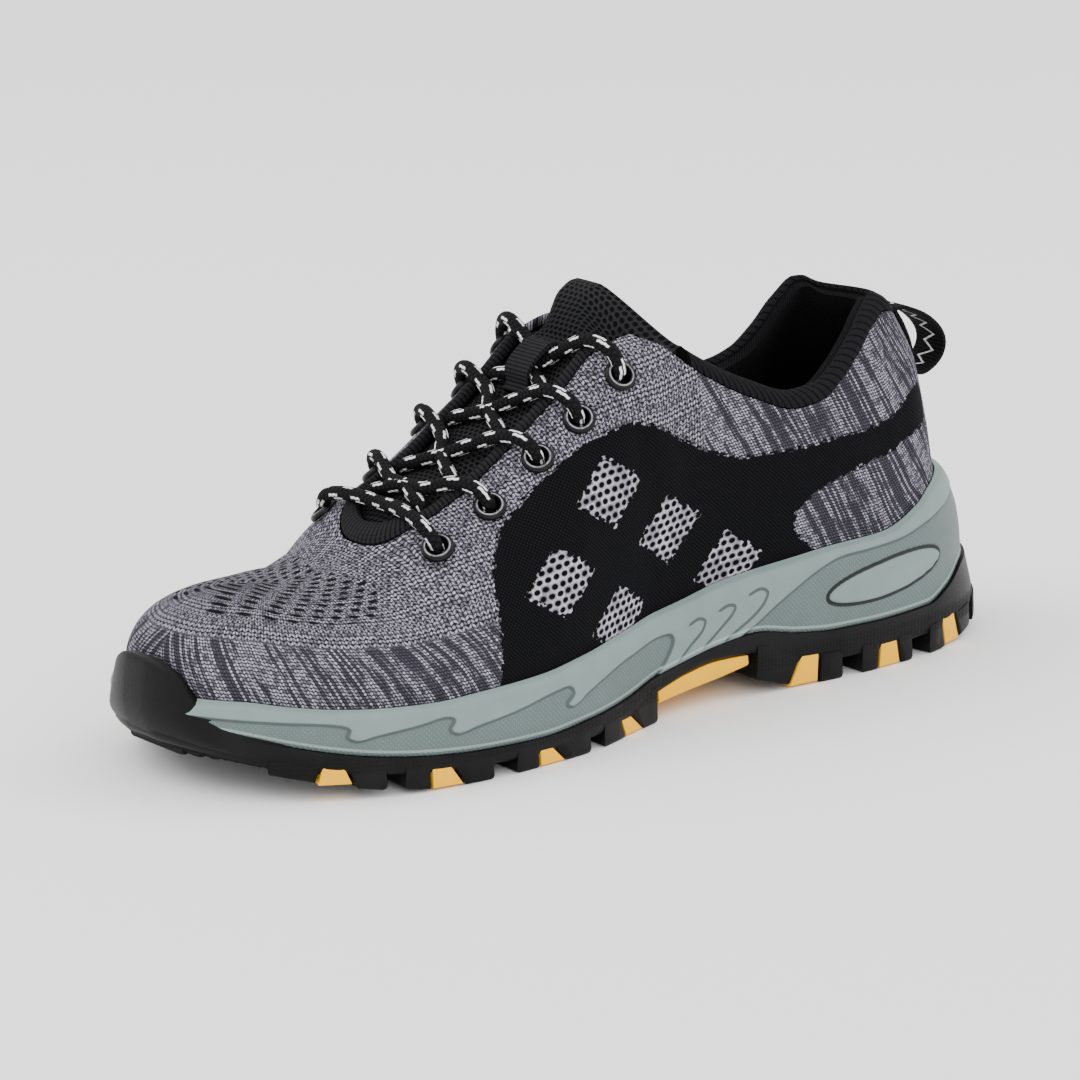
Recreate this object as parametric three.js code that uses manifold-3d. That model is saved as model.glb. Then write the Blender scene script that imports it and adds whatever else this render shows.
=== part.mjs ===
import * as THREE from 'three';
import { mergeVertices } from 'three/addons/utils/BufferGeometryUtils.js';
import Module from 'manifold-3d';

// A low lace-up work shoe for the left foot, standing on its sole.
// Millimetres. +X is the outer side, -Y the toe and +Z up.
// A place along the shoe is a share of its length: 0 behind the heel, 1 at the toe tip.

const wasm = await Module();
wasm.setup();

// Sole
const LENGTH = 296;
const BALL_WIDTH = 108;
const CUP_HEIGHT = 50;
const TOE_SWING = 3;
const SIDE_TAPER = 2.2;
const LIP_WALL = 2;
const FIELD_DEPTH = 0.6;
const OVAL_GROOVE = 0.9;
const TREAD_EDGE = 1.2;
const INSERT_DEPTH = 5;
const INSERT_RECESS = 0.6;
const SLOT_MARGIN = 0.9;
const PLATE_INSET = 1.2;

// Upper
const INSTEP_HEIGHT = 110;
const HEEL_LEAN = 20;
const ARCH_BULGE = 0.85;
const UPPER_WALL = 2.4;
const THROAT_WIDTH = 36;
const EYELET_SPACING = 52;
const INSOLE_THICKNESS = 4;
const COLLAR_ROLL = 5;
const COLLAR_PAD = 7;
const COLLAR_DROP = 34;
const COLLAR_END = 0.422;
const BINDING_WIDTH = 3.4;
const ROLL_HEIGHT = 1;
const TONGUE_PAD = 5;
const TONGUE_WIDTH = 52;

// Trim
const LACE_DIAMETER = 4;
const EYELET_BORE = 5.6;
const EYELET_BARREL = 0.6;
const EYELET_FLANGE = 1.3;
const EYELET_RIM = 1;
const EYELET_DEPTH = 2;
const KEEPER_WIDTH = 10;
const TAPE_THICKNESS = 1.4;
const LOOP_WIDTH = 12;
const LOOP_HEIGHT = 23;
const LOOP_REACH = 15;
const CLEARANCE = 0.3;

const INNER_ROW = 12;

const FEATHER = SIDE_TAPER + LIP_WALL + CLEARANCE;
const TONGUE_DEPTH = UPPER_WALL + CLEARANCE * 3;

// Where the round ends of the plan begin, and where the spine stops inside them
const HEEL_ROUND = 0.169;
const HEEL_FAN = 0.203;
const HEEL_POLE = 0.101;
const TOE_FAN = 0.757;
const TOE_POLE = 0.878;

// Where the instep turns down towards the toe
const INSTEP_TURN = 0.526;

// Half width of the tread on each side, as shares of half the ball width
const OUTLINE = [
  { at: 0.000, outer: 0.667, inner: 0.667 },
  { at: 0.135, outer: 0.674, inner: 0.670 },
  { at: 0.220, outer: 0.715, inner: 0.676 },
  { at: 0.304, outer: 0.707, inner: 0.630 },
  { at: 0.389, outer: 0.689, inner: 0.583 },
  { at: 0.486, outer: 0.733, inner: 0.611 },
  { at: 0.541, outer: 0.833, inner: 0.685 },
  { at: 0.605, outer: 0.944, inner: 0.796 },
  { at: 0.659, outer: 0.987, inner: 0.889 },
  { at: 0.720, outer: 1.000, inner: 0.972 },
  { at: 0.764, outer: 0.993, inner: 1.000 },
  { at: 1.000, outer: 0.926, inner: 0.963 },
];

// Heights of the sole's layers, as shares of the cup height
const SOLE = [
  { at: 0.000, rim: 1.020, seam: 0.480, bed: 0.620, root: 0.180, tread: 0.080 },
  { at: 0.051, rim: 1.010, seam: 0.459, bed: 0.596, root: 0.153, tread: 0.050 },
  { at: 0.095, rim: 0.972, seam: 0.366, bed: 0.577, root: 0.135, tread: 0.014 },
  { at: 0.135, rim: 0.896, seam: 0.296, bed: 0.562, root: 0.124, tread: 0.000 },
  { at: 0.196, rim: 0.802, seam: 0.290, bed: 0.542, root: 0.114, tread: 0.000 },
  { at: 0.264, rim: 0.784, seam: 0.293, bed: 0.527, root: 0.116, tread: 0.000 },
  { at: 0.311, rim: 0.760, seam: 0.320, bed: 0.518, root: 0.142, tread: 0.006 },
  { at: 0.365, rim: 0.730, seam: 0.372, bed: 0.499, root: 0.252, tread: 0.086 },
  { at: 0.412, rim: 0.695, seam: 0.348, bed: 0.470, root: 0.262, tread: 0.120 },
  { at: 0.453, rim: 0.651, seam: 0.310, bed: 0.441, root: 0.234, tread: 0.078 },
  { at: 0.503, rim: 0.613, seam: 0.262, bed: 0.401, root: 0.158, tread: 0.000 },
  { at: 0.561, rim: 0.578, seam: 0.208, bed: 0.349, root: 0.086, tread: 0.000 },
  { at: 0.608, rim: 0.546, seam: 0.189, bed: 0.316, root: 0.080, tread: 0.000 },
  { at: 0.669, rim: 0.504, seam: 0.164, bed: 0.288, root: 0.076, tread: 0.000 },
  { at: 0.730, rim: 0.489, seam: 0.172, bed: 0.276, root: 0.084, tread: 0.000 },
  { at: 0.787, rim: 0.476, seam: 0.192, bed: 0.291, root: 0.099, tread: 0.005 },
  { at: 0.845, rim: 0.482, seam: 0.226, bed: 0.320, root: 0.128, tread: 0.046 },
  { at: 0.885, rim: 0.495, seam: 0.263, bed: 0.351, root: 0.148, tread: 0.081 },
  { at: 0.919, rim: 0.515, seam: 0.306, bed: 0.386, root: 0.172, tread: 0.126 },
  { at: 0.956, rim: 0.540, seam: 0.359, bed: 0.421, root: 0.212, tread: 0.176 },
  { at: 0.980, rim: 0.540, seam: 0.385, bed: 0.442, root: 0.238, tread: 0.208 },
  { at: 1.000, rim: 0.540, seam: 0.400, bed: 0.460, root: 0.260, tread: 0.240 },
];

// Top edge of the toe bumper, as shares of the cup height
const BUMPER = [
  { at: 0.885, top: 0.250 },
  { at: 0.905, top: 0.276 },
  { at: 0.926, top: 0.324 },
  { at: 0.939, top: 0.348 },
  { at: 0.960, top: 0.388 },
  { at: 0.972, top: 0.458 },
  { at: 0.980, top: 0.516 },
  { at: 0.988, top: 0.626 },
  { at: 0.993, top: 0.686 },
  { at: 0.998, top: 0.722 },
  { at: 1.000, top: 0.730 },
];

// Line between the smooth band of the midsole and the sunk field below it, shares of the cup height
const WAVE = [
  { at: 0.000, height: 0.920 },
  { at: 0.068, height: 0.880 },
  { at: 0.135, height: 0.770 },
  { at: 0.203, height: 0.720 },
  { at: 0.338, height: 0.670 },
  { at: 0.405, height: 0.620 },
  { at: 0.466, height: 0.532 },
  { at: 0.561, height: 0.404 },
  { at: 0.615, height: 0.312 },
  { at: 0.642, height: 0.392 },
  { at: 0.716, height: 0.338 },
  { at: 0.750, height: 0.300 },
  { at: 0.777, height: 0.392 },
  { at: 0.851, height: 0.330 },
  { at: 0.878, height: 0.408 },
  { at: 0.956, height: 0.446 },
  { at: 1.000, height: 0.472 },
];

// Outer face of the midsole: how far up its side, and its inset as a share of the side taper
const MIDSOLE_SIDE = { foot: 0.45, low: 0.2, band: 0.1, shoulder: 0.6, top: 1.1 };

// Height of the last over its spine as a share of the instep height, and how square it is
const LAST = [
  { at: 0.000, ridge: 1.145, square: 1.90 },
  { at: 0.135, ridge: 1.145, square: 1.90 },
  { at: 0.203, ridge: 1.145, square: 2.20 },
  { at: 0.304, ridge: 1.145, square: 3.00 },
  { at: 0.389, ridge: 1.136, square: 3.20 },
  { at: 0.443, ridge: 1.064, square: 3.40 },
  { at: 0.466, ridge: 0.986, square: 4.50 },
  { at: 0.507, ridge: 0.982, square: 3.10 },
  { at: 0.556, ridge: 0.891, square: 2.40 },
  { at: 0.605, ridge: 0.791, square: 2.20 },
  { at: 0.662, ridge: 0.691, square: 1.95 },
  { at: 0.723, ridge: 0.604, square: 1.85 },
  { at: 0.757, ridge: 0.512, square: 1.75 },
  { at: 0.797, ridge: 0.466, square: 1.90 },
  { at: 0.845, ridge: 0.450, square: 2.20 },
  { at: 0.912, ridge: 0.455, square: 2.30 },
  { at: 1.000, ridge: 0.466, square: 2.30 },
];

// Forward lean of the heel: share of the instep height, and shift as a share of the heel lean
const LEAN = [
  { at: 0.091, by: 0.000 },
  { at: 0.218, by: 0.200 },
  { at: 0.345, by: 0.360 },
  { at: 0.400, by: 0.490 },
  { at: 0.436, by: 0.575 },
  { at: 0.482, by: 0.645 },
  { at: 0.564, by: 0.710 },
  { at: 0.691, by: 0.790 },
  { at: 0.764, by: 0.820 },
  { at: 0.882, by: 1.000 },
  { at: 1.000, by: 1.200 },
];

// Top edge of the upper around the ankle on each side, as shares of the instep height
const COLLAR = [
  { at: 0.000, outer: 0.891, inner: 0.891 },
  { at: 0.041, outer: 0.898, inner: 0.898 },
  { at: 0.095, outer: 0.918, inner: 0.916 },
  { at: 0.135, outer: 0.923, inner: 0.914 },
  { at: 0.169, outer: 0.909, inner: 0.857 },
  { at: 0.189, outer: 0.891, inner: 0.787 },
  { at: 0.213, outer: 0.845, inner: 0.726 },
  { at: 0.240, outer: 0.791, inner: 0.699 },
  { at: 0.270, outer: 0.745, inner: 0.690 },
  { at: 0.304, outer: 0.736, inner: 0.702 },
  { at: 0.355, outer: 0.782, inner: 0.764 },
  { at: 0.402, outer: 0.845, inner: 0.836 },
  { at: 0.429, outer: 0.893, inner: 0.890 },
  { at: 0.443, outer: 0.925, inner: 0.922 },
  { at: 0.455, outer: 0.952, inner: 0.948 },
  { at: 0.466, outer: 0.968, inner: 0.962 },
];

// The throat: its rear corner, where its sides turn in, and its front end
const THROAT = { rear: 0.4685, turn: 0.700, front: 0.755 };

// Lugs of one side from toe to heel, with the slot for each insert; heights as shares of the cup height
const LUGS = [
  { toe: 0.936, heel: 0.841, lowToe: 0.899, lowHeel: 0.871, highToe: 0.895, highHeel: 0.879, top: 0.202 },
  { toe: 0.824, heel: 0.730, lowToe: 0.796, lowHeel: 0.764, highToe: 0.797, highHeel: 0.778, top: 0.126 },
  { toe: 0.703, heel: 0.608, lowToe: 0.673, lowHeel: 0.643, highToe: 0.674, highHeel: 0.659, top: 0.098 },
  { toe: 0.588, heel: 0.497, lowToe: 0.550, lowHeel: 0.522, highToe: 0.558, highHeel: 0.542, top: 0.108 },
  { toe: 0.365, heel: 0.258, lowToe: 0.324, lowHeel: 0.289, highToe: 0.309, highHeel: 0.288, top: 0.180 },
  { toe: 0.233, heel: 0.162, lowToe: 0.209, lowHeel: 0.180, highToe: 0.207, highHeel: 0.185, top: 0.146 },
  { toe: 0.135, heel: 0.054, lowToe: 0.107, lowHeel: 0.080, highToe: 0.113, highHeel: 0.092, top: 0.196 },
];

// Pads of the tread between the two rows of lugs
const CENTRE_PADS = [
  { toe: 0.850, heel: 0.800 },
  { toe: 0.785, heel: 0.705 },
  { toe: 0.675, heel: 0.595 },
  { toe: 0.565, heel: 0.505 },
  { toe: 0.340, heel: 0.265 },
  { toe: 0.235, heel: 0.155 },
];

// Low ribs under the toe, and the block behind the heel
const TOE_RIBS = [0.970, 0.957, 0.944];
const HEEL_BLOCK = 0.042;

// Yellow plate across the arch, heights as shares of the cup height
const ARCH_PLATE = [
  { at: 0.373, top: 0.250, foot: 0.186 },
  { at: 0.386, top: 0.254, foot: 0.170 },
  { at: 0.412, top: 0.256, foot: 0.144 },
  { at: 0.453, top: 0.228, foot: 0.120 },
  { at: 0.492, top: 0.176, foot: 0.098 },
];

// Oval set into the heel of the midsole: centre, half lengths and tilt
const OVAL = { at: 0.192, height: 0.540, length: 0.084, rise: 0.112, tilt: -0.094 };

// Eyelets from the ankle down
const EYELETS = [0.507, 0.556, 0.605, 0.662, 0.723];

// The tongue under the facings: half width as a share of half the tongue width, and how far its
// middle swells out between them as a share of its padding
const TONGUE_BODY = [
  { at: 0.742, half: 0.42, swell: 0.0 },
  { at: 0.723, half: 0.80, swell: 0.0 },
  { at: 0.692, half: 1.00, swell: 0.0 },
  { at: 0.662, half: 1.00, swell: 0.0 },
  { at: 0.632, half: 1.00, swell: 0.0 },
  { at: 0.605, half: 1.00, swell: -0.1 },
  { at: 0.580, half: 1.00, swell: -0.3 },
  { at: 0.556, half: 1.00, swell: -0.5 },
  { at: 0.532, half: 0.98, swell: -0.5 },
  { at: 0.519, half: 0.96, swell: -0.35 },
  { at: 0.507, half: 0.94, swell: -0.1 },
];

// The free top of the tongue: its middle, how far its sides fall and slide back, and its half width
const TONGUE_TOP = [
  { at: 0.497, height: 1.050, fall: 0.185, slide: 0.028, half: 0.90 },
  { at: 0.484, height: 1.082, fall: 0.170, slide: 0.042, half: 0.88 },
  { at: 0.476, height: 1.096, fall: 0.160, slide: 0.053, half: 0.88 },
];

// Builds a smooth function through one column of a table, without overshoot
function column(table, name) {
  const x = table.map((row) => row.at);
  const y = table.map((row) => row[name]);
  const rise = x.slice(1).map((next, i) => (y[i + 1] - y[i]) / (next - x[i]));
  const slope = y.map((_, i) => {
    if (i === 0 || i === y.length - 1 || rise[i - 1] * rise[i] <= 0) return 0;
    return 2 * rise[i - 1] * rise[i] / (rise[i - 1] + rise[i]);
  });
  slope[0] = rise[0];
  slope[y.length - 1] = rise[rise.length - 1];
  return (at) => {
    const t = THREE.MathUtils.clamp(at, x[0], x[x.length - 1]);
    const i = Math.min(Math.max(x.findIndex((value) => value >= t), 1), x.length - 1) - 1;
    const step = x[i + 1] - x[i];
    const s = (t - x[i]) / step;
    return y[i] * (1 + 2 * s) * (1 - s) ** 2 + y[i + 1] * s * s * (3 - 2 * s)
      + step * (slope[i] * s * (1 - s) ** 2 - slope[i + 1] * s * s * (1 - s));
  };
}

const outerSide = column(OUTLINE, 'outer');
const innerSide = column(OUTLINE, 'inner');
const soleShare = Object.fromEntries(['rim', 'seam', 'bed', 'root', 'tread']
  .map((name) => [name, column(SOLE, name)]));
const bumperShare = column(BUMPER, 'top');
const waveShare = column(WAVE, 'height');
const ridgeShare = column(LAST, 'ridge');
const squareOf = column(LAST, 'square');
const leanShare = column(LEAN, 'by');
const outerCollar = column(COLLAR, 'outer');
const innerCollar = column(COLLAR, 'inner');

const rimHeight = (at) => soleShare.rim(at) * CUP_HEIGHT;
const seamHeight = (at) => soleShare.seam(at) * CUP_HEIGHT;
const bedHeight = (at) => soleShare.bed(at) * CUP_HEIGHT;
const rootHeight = (at) => soleShare.root(at) * CUP_HEIGHT;
const treadHeight = (at) => soleShare.tread(at) * CUP_HEIGHT;
const bumperHeight = (at) => bumperShare(at) * CUP_HEIGHT;
const ridgeHeight = (at) => ridgeShare(at) * INSTEP_HEIGHT;
const collarHeight = (at, side = 1) => (side > 0 ? outerCollar : innerCollar)(at) * INSTEP_HEIGHT;

// The toe swings towards the inner side
const swing = (at) => -TOE_SWING * Math.max(0, (at - TOE_FAN) / (1 - TOE_FAN)) ** 2;
const roundEnd = (x) => Math.sqrt(Math.max(0, 1 - (1 - Math.min(x, 1)) ** 2));

function halfWidth(at, side) {
  const body = (side > 0 ? outerSide : innerSide)(at) * BALL_WIDTH / 2;
  return body * roundEnd(at / HEEL_ROUND) * roundEnd((1 - at) / (1 - TOE_FAN));
}

// Where the section that starts at a place on the outline meets the spine
function spineShare(at) {
  const fan = (x) => 0.25 * Math.acos(1 - x) / (Math.PI / 2) + 0.75 * x * x;
  if (at < HEEL_FAN) return HEEL_POLE + (HEEL_FAN - HEEL_POLE) * fan(at / HEEL_FAN);
  if (at > TOE_FAN) return TOE_POLE - (TOE_POLE - TOE_FAN) * fan((1 - at) / (1 - TOE_FAN));
  return at;
}

const alongToY = (at) => LENGTH * (0.5 - at);

// A section of the shoe, from the edge of the outline to the spine
function station(at, side) {
  const edge = new THREE.Vector2(swing(at) + side * halfWidth(at, side), alongToY(at));
  const share = spineShare(at);
  const spine = new THREE.Vector2(swing(share), alongToY(share));
  const outward = edge.clone().sub(spine);
  const run = outward.length();
  return { at, side, spine, run, outward: outward.divideScalar(run) };
}

// How much of the heel's lean a section takes
const leanWeight = (at) => 1 - THREE.MathUtils.smoothstep(at, 0, HEEL_FAN);

function place(st, across, z) {
  const lean = leanShare(z / INSTEP_HEIGHT) * HEEL_LEAN * leanWeight(st.at);
  return new THREE.Vector3(
    st.spine.x + st.outward.x * across,
    st.spine.y + st.outward.y * across - lean,
    z,
  );
}

const inset = (st, depth, z) => place(st, st.run - depth, z);

// A point on a layer of the sole: its height follows its own place along the shoe
const shareOf = (y) => 0.5 - y / LENGTH;
const layer = (st, depth, height) => (
  inset(st, depth, height(shareOf(st.spine.y + st.outward.y * (st.run - depth))))
);
const layerMiddle = (st, height) => layer(st, st.run, height);

// Places along one side, closer together in the round ends
function placesAlong(from, to, extra = []) {
  const places = [];
  const ends = 7;
  for (let i = 0; i <= ends; i += 1) {
    places.push(HEEL_ROUND * (1 - Math.cos(i / ends * Math.PI / 2)));
    places.push(TOE_FAN + (1 - TOE_FAN) * Math.sin(i / ends * Math.PI / 2));
  }
  const middle = 14;
  for (let i = 1; i < middle; i += 1) places.push(HEEL_ROUND + (TOE_FAN - HEEL_ROUND) * i / middle);
  const wanted = [...places, ...extra, INSTEP_TURN, from, to].filter((at) => at >= from && at <= to);
  const sorted = wanted.sort((a, b) => a - b);
  return sorted.filter((at, i) => i === 0 || at - sorted[i - 1] > 0.0015);
}

// Sections all around the shoe: heel, outer side, toe and back along the inner side
function allStations(extra = []) {
  const places = placesAlong(0, 1, extra);
  const back = places.slice(1, -1).reverse();
  return [...places.map((at) => station(at, 1)), ...back.map((at) => station(at, -1))];
}

// Sections around the toe or the heel only, from the outer side to the inner one
function endStations(limit, extra = []) {
  const heel = limit < 0.5;
  const places = heel ? placesAlong(0, limit, extra) : placesAlong(limit, 1, extra);
  const out = heel ? places.slice().reverse() : places;
  const back = heel ? places.slice(1) : places.slice(0, -1).reverse();
  return [...out.map((at) => station(at, 1)), ...back.map((at) => station(at, -1))];
}

// Turns points and triangles into a closed solid that faces outward
function closedSolid(points, triangles) {
  const geometry = new THREE.BufferGeometry();
  const values = points.flatMap((p) => [p.x, p.y, p.z]);
  geometry.setAttribute('position', new THREE.Float32BufferAttribute(values, 3));
  geometry.setIndex(triangles.flat());
  const merged = mergeVertices(geometry, 1e-4);
  const index = Array.from(merged.index.array);
  const kept = [];
  for (let i = 0; i < index.length; i += 3) {
    const [a, b, c] = index.slice(i, i + 3);
    if (a !== b && b !== c && c !== a) kept.push([a, b, c]);
  }
  const at = (i) => new THREE.Vector3().fromBufferAttribute(merged.attributes.position, i);
  const volume = kept.reduce((sum, [a, b, c]) => sum + at(a).dot(at(b).cross(at(c))), 0);
  const faces = volume < 0 ? kept.map(([a, b, c]) => [a, c, b]) : kept;
  return new wasm.Manifold(new wasm.Mesh({
    numProp: 3,
    vertProperties: merged.attributes.position.array,
    triVerts: new Uint32Array(faces.flat()),
  }));
}

// Rows of points around the shoe, from the spine below to the spine above, closed on themselves.
// Faces below and above split their squares the same way, so that stacked layers stay parallel.
function shell(stations, rows) {
  const points = rows.flatMap((row) => stations.map(row));
  const count = stations.length;
  const triangles = [];
  for (let r = 0; r + 1 < rows.length; r += 1) {
    for (let c = 0; c < count; c += 1) {
      const next = (c + 1) % count;
      const [a, b] = [r * count + c, r * count + next];
      const [d, e] = [a + count, b + count];
      if (r < rows.length / 2 - 1) triangles.push([a, b, e], [a, e, d]);
      else triangles.push([a, b, d], [b, e, d]);
    }
  }
  return closedSolid(points, triangles);
}

// Triangles that close the end of a loft
function capTriangles(ring) {
  const normal = new THREE.Vector3();
  ring.forEach((p, i) => normal.add(p.clone().cross(ring[(i + 1) % ring.length])));
  normal.normalize();
  const u = new THREE.Vector3(1, 0, 0);
  if (Math.abs(normal.x) > 0.8) u.set(0, 1, 0);
  u.cross(normal).normalize();
  const v = normal.clone().cross(u);
  return THREE.ShapeUtils.triangulateShape(ring.map((p) => new THREE.Vector2(p.dot(u), p.dot(v))), []);
}

// Joins rings of points; a loop of rings closes on itself, any other gets two end caps
function loft(rings, loop = false) {
  const size = rings[0].length;
  const points = rings.flat();
  const triangles = [];
  const spans = loop ? rings.length : rings.length - 1;
  for (let r = 0; r < spans; r += 1) {
    const next = (r + 1) % rings.length;
    for (let c = 0; c < size; c += 1) {
      const d = (c + 1) % size;
      const [low, high] = [r * size, next * size];
      triangles.push([low + c, low + d, high + d], [low + c, high + d, high + c]);
    }
  }
  if (!loop) {
    const last = (rings.length - 1) * size;
    capTriangles(rings[0]).forEach(([a, b, c]) => triangles.push([a, c, b]));
    capTriangles(rings[rings.length - 1]).forEach((face) => triangles.push(face.map((v) => last + v)));
  }
  return closedSolid(points, triangles);
}

const mix = THREE.MathUtils.lerp;

// Outer face of the toe bumper below its top edge, with its inset and share of the height
const BUMPER_SIDE = [
  { up: 0.00, inset: 3.0 },
  { up: 0.20, inset: 0.8 },
  { up: 0.40, inset: 0.0 },
  { up: 0.62, inset: 0.3 },
  { up: 0.90, inset: 1.1 },
];

const bumperTaper = (at) => THREE.MathUtils.smoothstep(at, 0.905, 0.985);
const bumperLip = (at) => mix(1.4, SIDE_TAPER * 0.9, bumperTaper(at));

function bumper() {
  const rings = endStations(0.905).map((st) => {
    const foot = rootHeight(st.at) + 1;
    const top = bumperHeight(st.at);
    const taper = bumperTaper(st.at);
    const outer = BUMPER_SIDE.map((row) => inset(st, mix(0.9, row.inset, taper), mix(foot, top, row.up)));
    return [
      inset(st, SIDE_TAPER + LIP_WALL, foot + 0.5),
      ...outer,
      inset(st, bumperLip(st.at), top),
      inset(st, SIDE_TAPER + LIP_WALL, top),
    ];
  });
  return loft(rings);
}

// The room that the bumper takes from the midsole
function bumperRoom() {
  const rings = endStations(0.890).map((st) => {
    const top = bumperHeight(st.at) + CLEARANCE;
    const wall = SIDE_TAPER + LIP_WALL + CLEARANCE;
    return [
      inset(st, wall, 0),
      inset(st, -TREAD_EDGE * 4, 0),
      inset(st, -TREAD_EDGE * 4, top),
      inset(st, bumperLip(st.at), top),
      inset(st, wall, top),
    ];
  });
  return loft(rings);
}

// The slab that carries the lugs
function outsoleSlab() {
  const turn = (at) => mix(TREAD_EDGE, 4.5, THREE.MathUtils.smoothstep(at, 0.93, 1));
  const under = (at) => seamHeight(at) - CLEARANCE;
  const rows = [
    (st) => layerMiddle(st, rootHeight),
    (st) => layer(st, INNER_ROW, rootHeight),
    (st) => layer(st, turn(st.at), rootHeight),
    (st) => inset(st, turn(st.at) * 0.35, mix(rootHeight(st.at), under(st.at), 0.35)),
    (st) => layer(st, turn(st.at) * 0.45, under),
    (st) => layer(st, INNER_ROW, under),
    (st) => layerMiddle(st, under),
  ];
  return shell(allStations(), rows);
}

// A block under the slab on a footprint of places; its lower edge is rounded off
function block(footprint) {
  const centre = footprint.reduce((sum, f) => sum.add(f.point), new THREE.Vector3())
    .divideScalar(footprint.length);
  const drawn = (f, depth, z) => {
    const inward = centre.clone().sub(f.point).setZ(0).normalize().multiplyScalar(depth);
    return f.point.clone().add(inward).setZ(z);
  };
  const top = footprint.map((f) => drawn(f, 0.4, rootHeight(f.at) + 2.4));
  const shoulder = footprint.map((f) => drawn(f, 0, treadHeight(f.at) + TREAD_EDGE));
  const foot = footprint.map((f) => drawn(f, TREAD_EDGE, treadHeight(f.at)));
  return loft([top, shoulder, foot]);
}

function footAt(at, side, share, depth = 0) {
  const st = station(at, side);
  const point = place(st, st.run * share - depth, 0);
  return { at: shareOf(point.y), point };
}

function sideLug(lug, side) {
  const reach = 0.022;
  const places = [0, 0.33, 0.67, 1].map((t) => mix(lug.heel, lug.toe, t));
  const edge = places.map((at) => footAt(at, side, 1, 0.2));
  const slant = 0.012;
  return block([
    ...edge,
    footAt(mix(lug.heel, lug.toe, 0.82) + slant, side, reach),
    footAt(mix(lug.heel, lug.toe, 0.30), side, reach),
  ]);
}

function centrePad(pad) {
  const wide = 0.28;
  const middle = mix(pad.heel, pad.toe, 0.5);
  return block([
    footAt(pad.heel, 1, wide * 0.5),
    footAt(middle, 1, wide),
    footAt(pad.toe, 1, wide * 0.5),
    footAt(pad.toe, -1, wide * 0.5),
    footAt(middle, -1, wide),
    footAt(pad.heel, -1, wide * 0.5),
  ]);
}

function toeRib(at) {
  const length = 0.006;
  const corner = (share, side) => ({
    at: share,
    point: new THREE.Vector3(swing(share) + side * halfWidth(at, side) * 0.5, alongToY(share), 0),
  });
  return block([corner(at, 1), corner(at + length, 1), corner(at + length, -1), corner(at, -1)]);
}

function heelBlock() {
  const share = 0.55;
  const around = endStations(HEEL_BLOCK).map((st) => footAt(st.at, st.side, 1, 0));
  return block([...around, footAt(HEEL_BLOCK, -1, share), footAt(HEEL_BLOCK, 1, share)]);
}

// The prism of one insert, grown outward by a margin for the slot that holds it
function insertPrism(lug, side, margin) {
  const slot = margin > 0;
  const shift = margin / LENGTH;
  const foot = treadHeight((lug.lowToe + lug.lowHeel) / 2) + 0.4;
  const top = lug.top * CUP_HEIGHT;
  const below = slot ? 3 : 0;
  const above = margin;
  const depths = slot ? [-3, INSERT_DEPTH + CLEARANCE] : [INSERT_RECESS, INSERT_DEPTH];
  const along = (low, high, z) => mix(low, high, (z - foot) / (top - foot));
  const ring = (depth) => [
    { at: along(lug.lowToe, lug.highToe, foot - below) + shift, z: foot - below },
    { at: along(lug.lowToe, lug.highToe, top + above) + shift, z: top + above },
    { at: along(lug.lowHeel, lug.highHeel, top + above) - shift, z: top + above },
    { at: along(lug.lowHeel, lug.highHeel, foot - below) - shift, z: foot - below },
  ].map(({ at, z }) => inset(station(at, side), depth, z));
  return loft(depths.map(ring));
}

function outsole() {
  let sole = outsoleSlab().add(bumper()).add(heelBlock());
  [1, -1].forEach((side) => LUGS.forEach((lug) => { sole = sole.add(sideLug(lug, side)); }));
  CENTRE_PADS.forEach((pad) => { sole = sole.add(centrePad(pad)); });
  TOE_RIBS.forEach((at) => { sole = sole.add(toeRib(at)); });
  [1, -1].forEach((side) => LUGS.forEach((lug) => {
    sole = sole.subtract(insertPrism(lug, side, SLOT_MARGIN));
  }));
  return sole;
}

function archPlate() {
  const rings = ARCH_PLATE.map(({ at, top, foot }) => {
    const outer = station(at, 1);
    const inner = station(at, -1);
    const [high, low] = [top * CUP_HEIGHT - CLEARANCE, foot * CUP_HEIGHT - CLEARANCE];
    return [
      inset(outer, PLATE_INSET + 1, low),
      inset(outer, PLATE_INSET, mix(low, high, 0.3)),
      inset(outer, PLATE_INSET + 0.3, high),
      inset(inner, PLATE_INSET + 0.3, high),
      inset(inner, PLATE_INSET, mix(low, high, 0.3)),
      inset(inner, PLATE_INSET + 1, low),
    ];
  });
  return loft(rings);
}

// The oval groove in the heel of the midsole
function ovalGroove(side) {
  const turns = 16;
  const rings = [];
  for (let i = 0; i < turns; i += 1) {
    const angle = i / turns * 2 * Math.PI;
    const along = Math.cos(angle) * OVAL.length;
    const up = Math.sin(angle) * OVAL.rise + OVAL.tilt * along / OVAL.length * 0.5;
    const st = station(OVAL.at + along, side);
    const z = (OVAL.height + up) * CUP_HEIGHT;
    const face = MIDSOLE_SIDE.band * SIDE_TAPER + FIELD_DEPTH;
    const next = [Math.cos(angle) / LENGTH, Math.sin(angle)];
    rings.push([
      inset(station(st.at - next[0] * 0.5, side), face - 1.5, z - next[1] * 0.5),
      inset(st, face + OVAL_GROOVE, z),
      inset(station(st.at + next[0] * 0.9, side), face - 1.5, z + next[1] * 0.9),
    ]);
  }
  return loft(rings, true);
}

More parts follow.
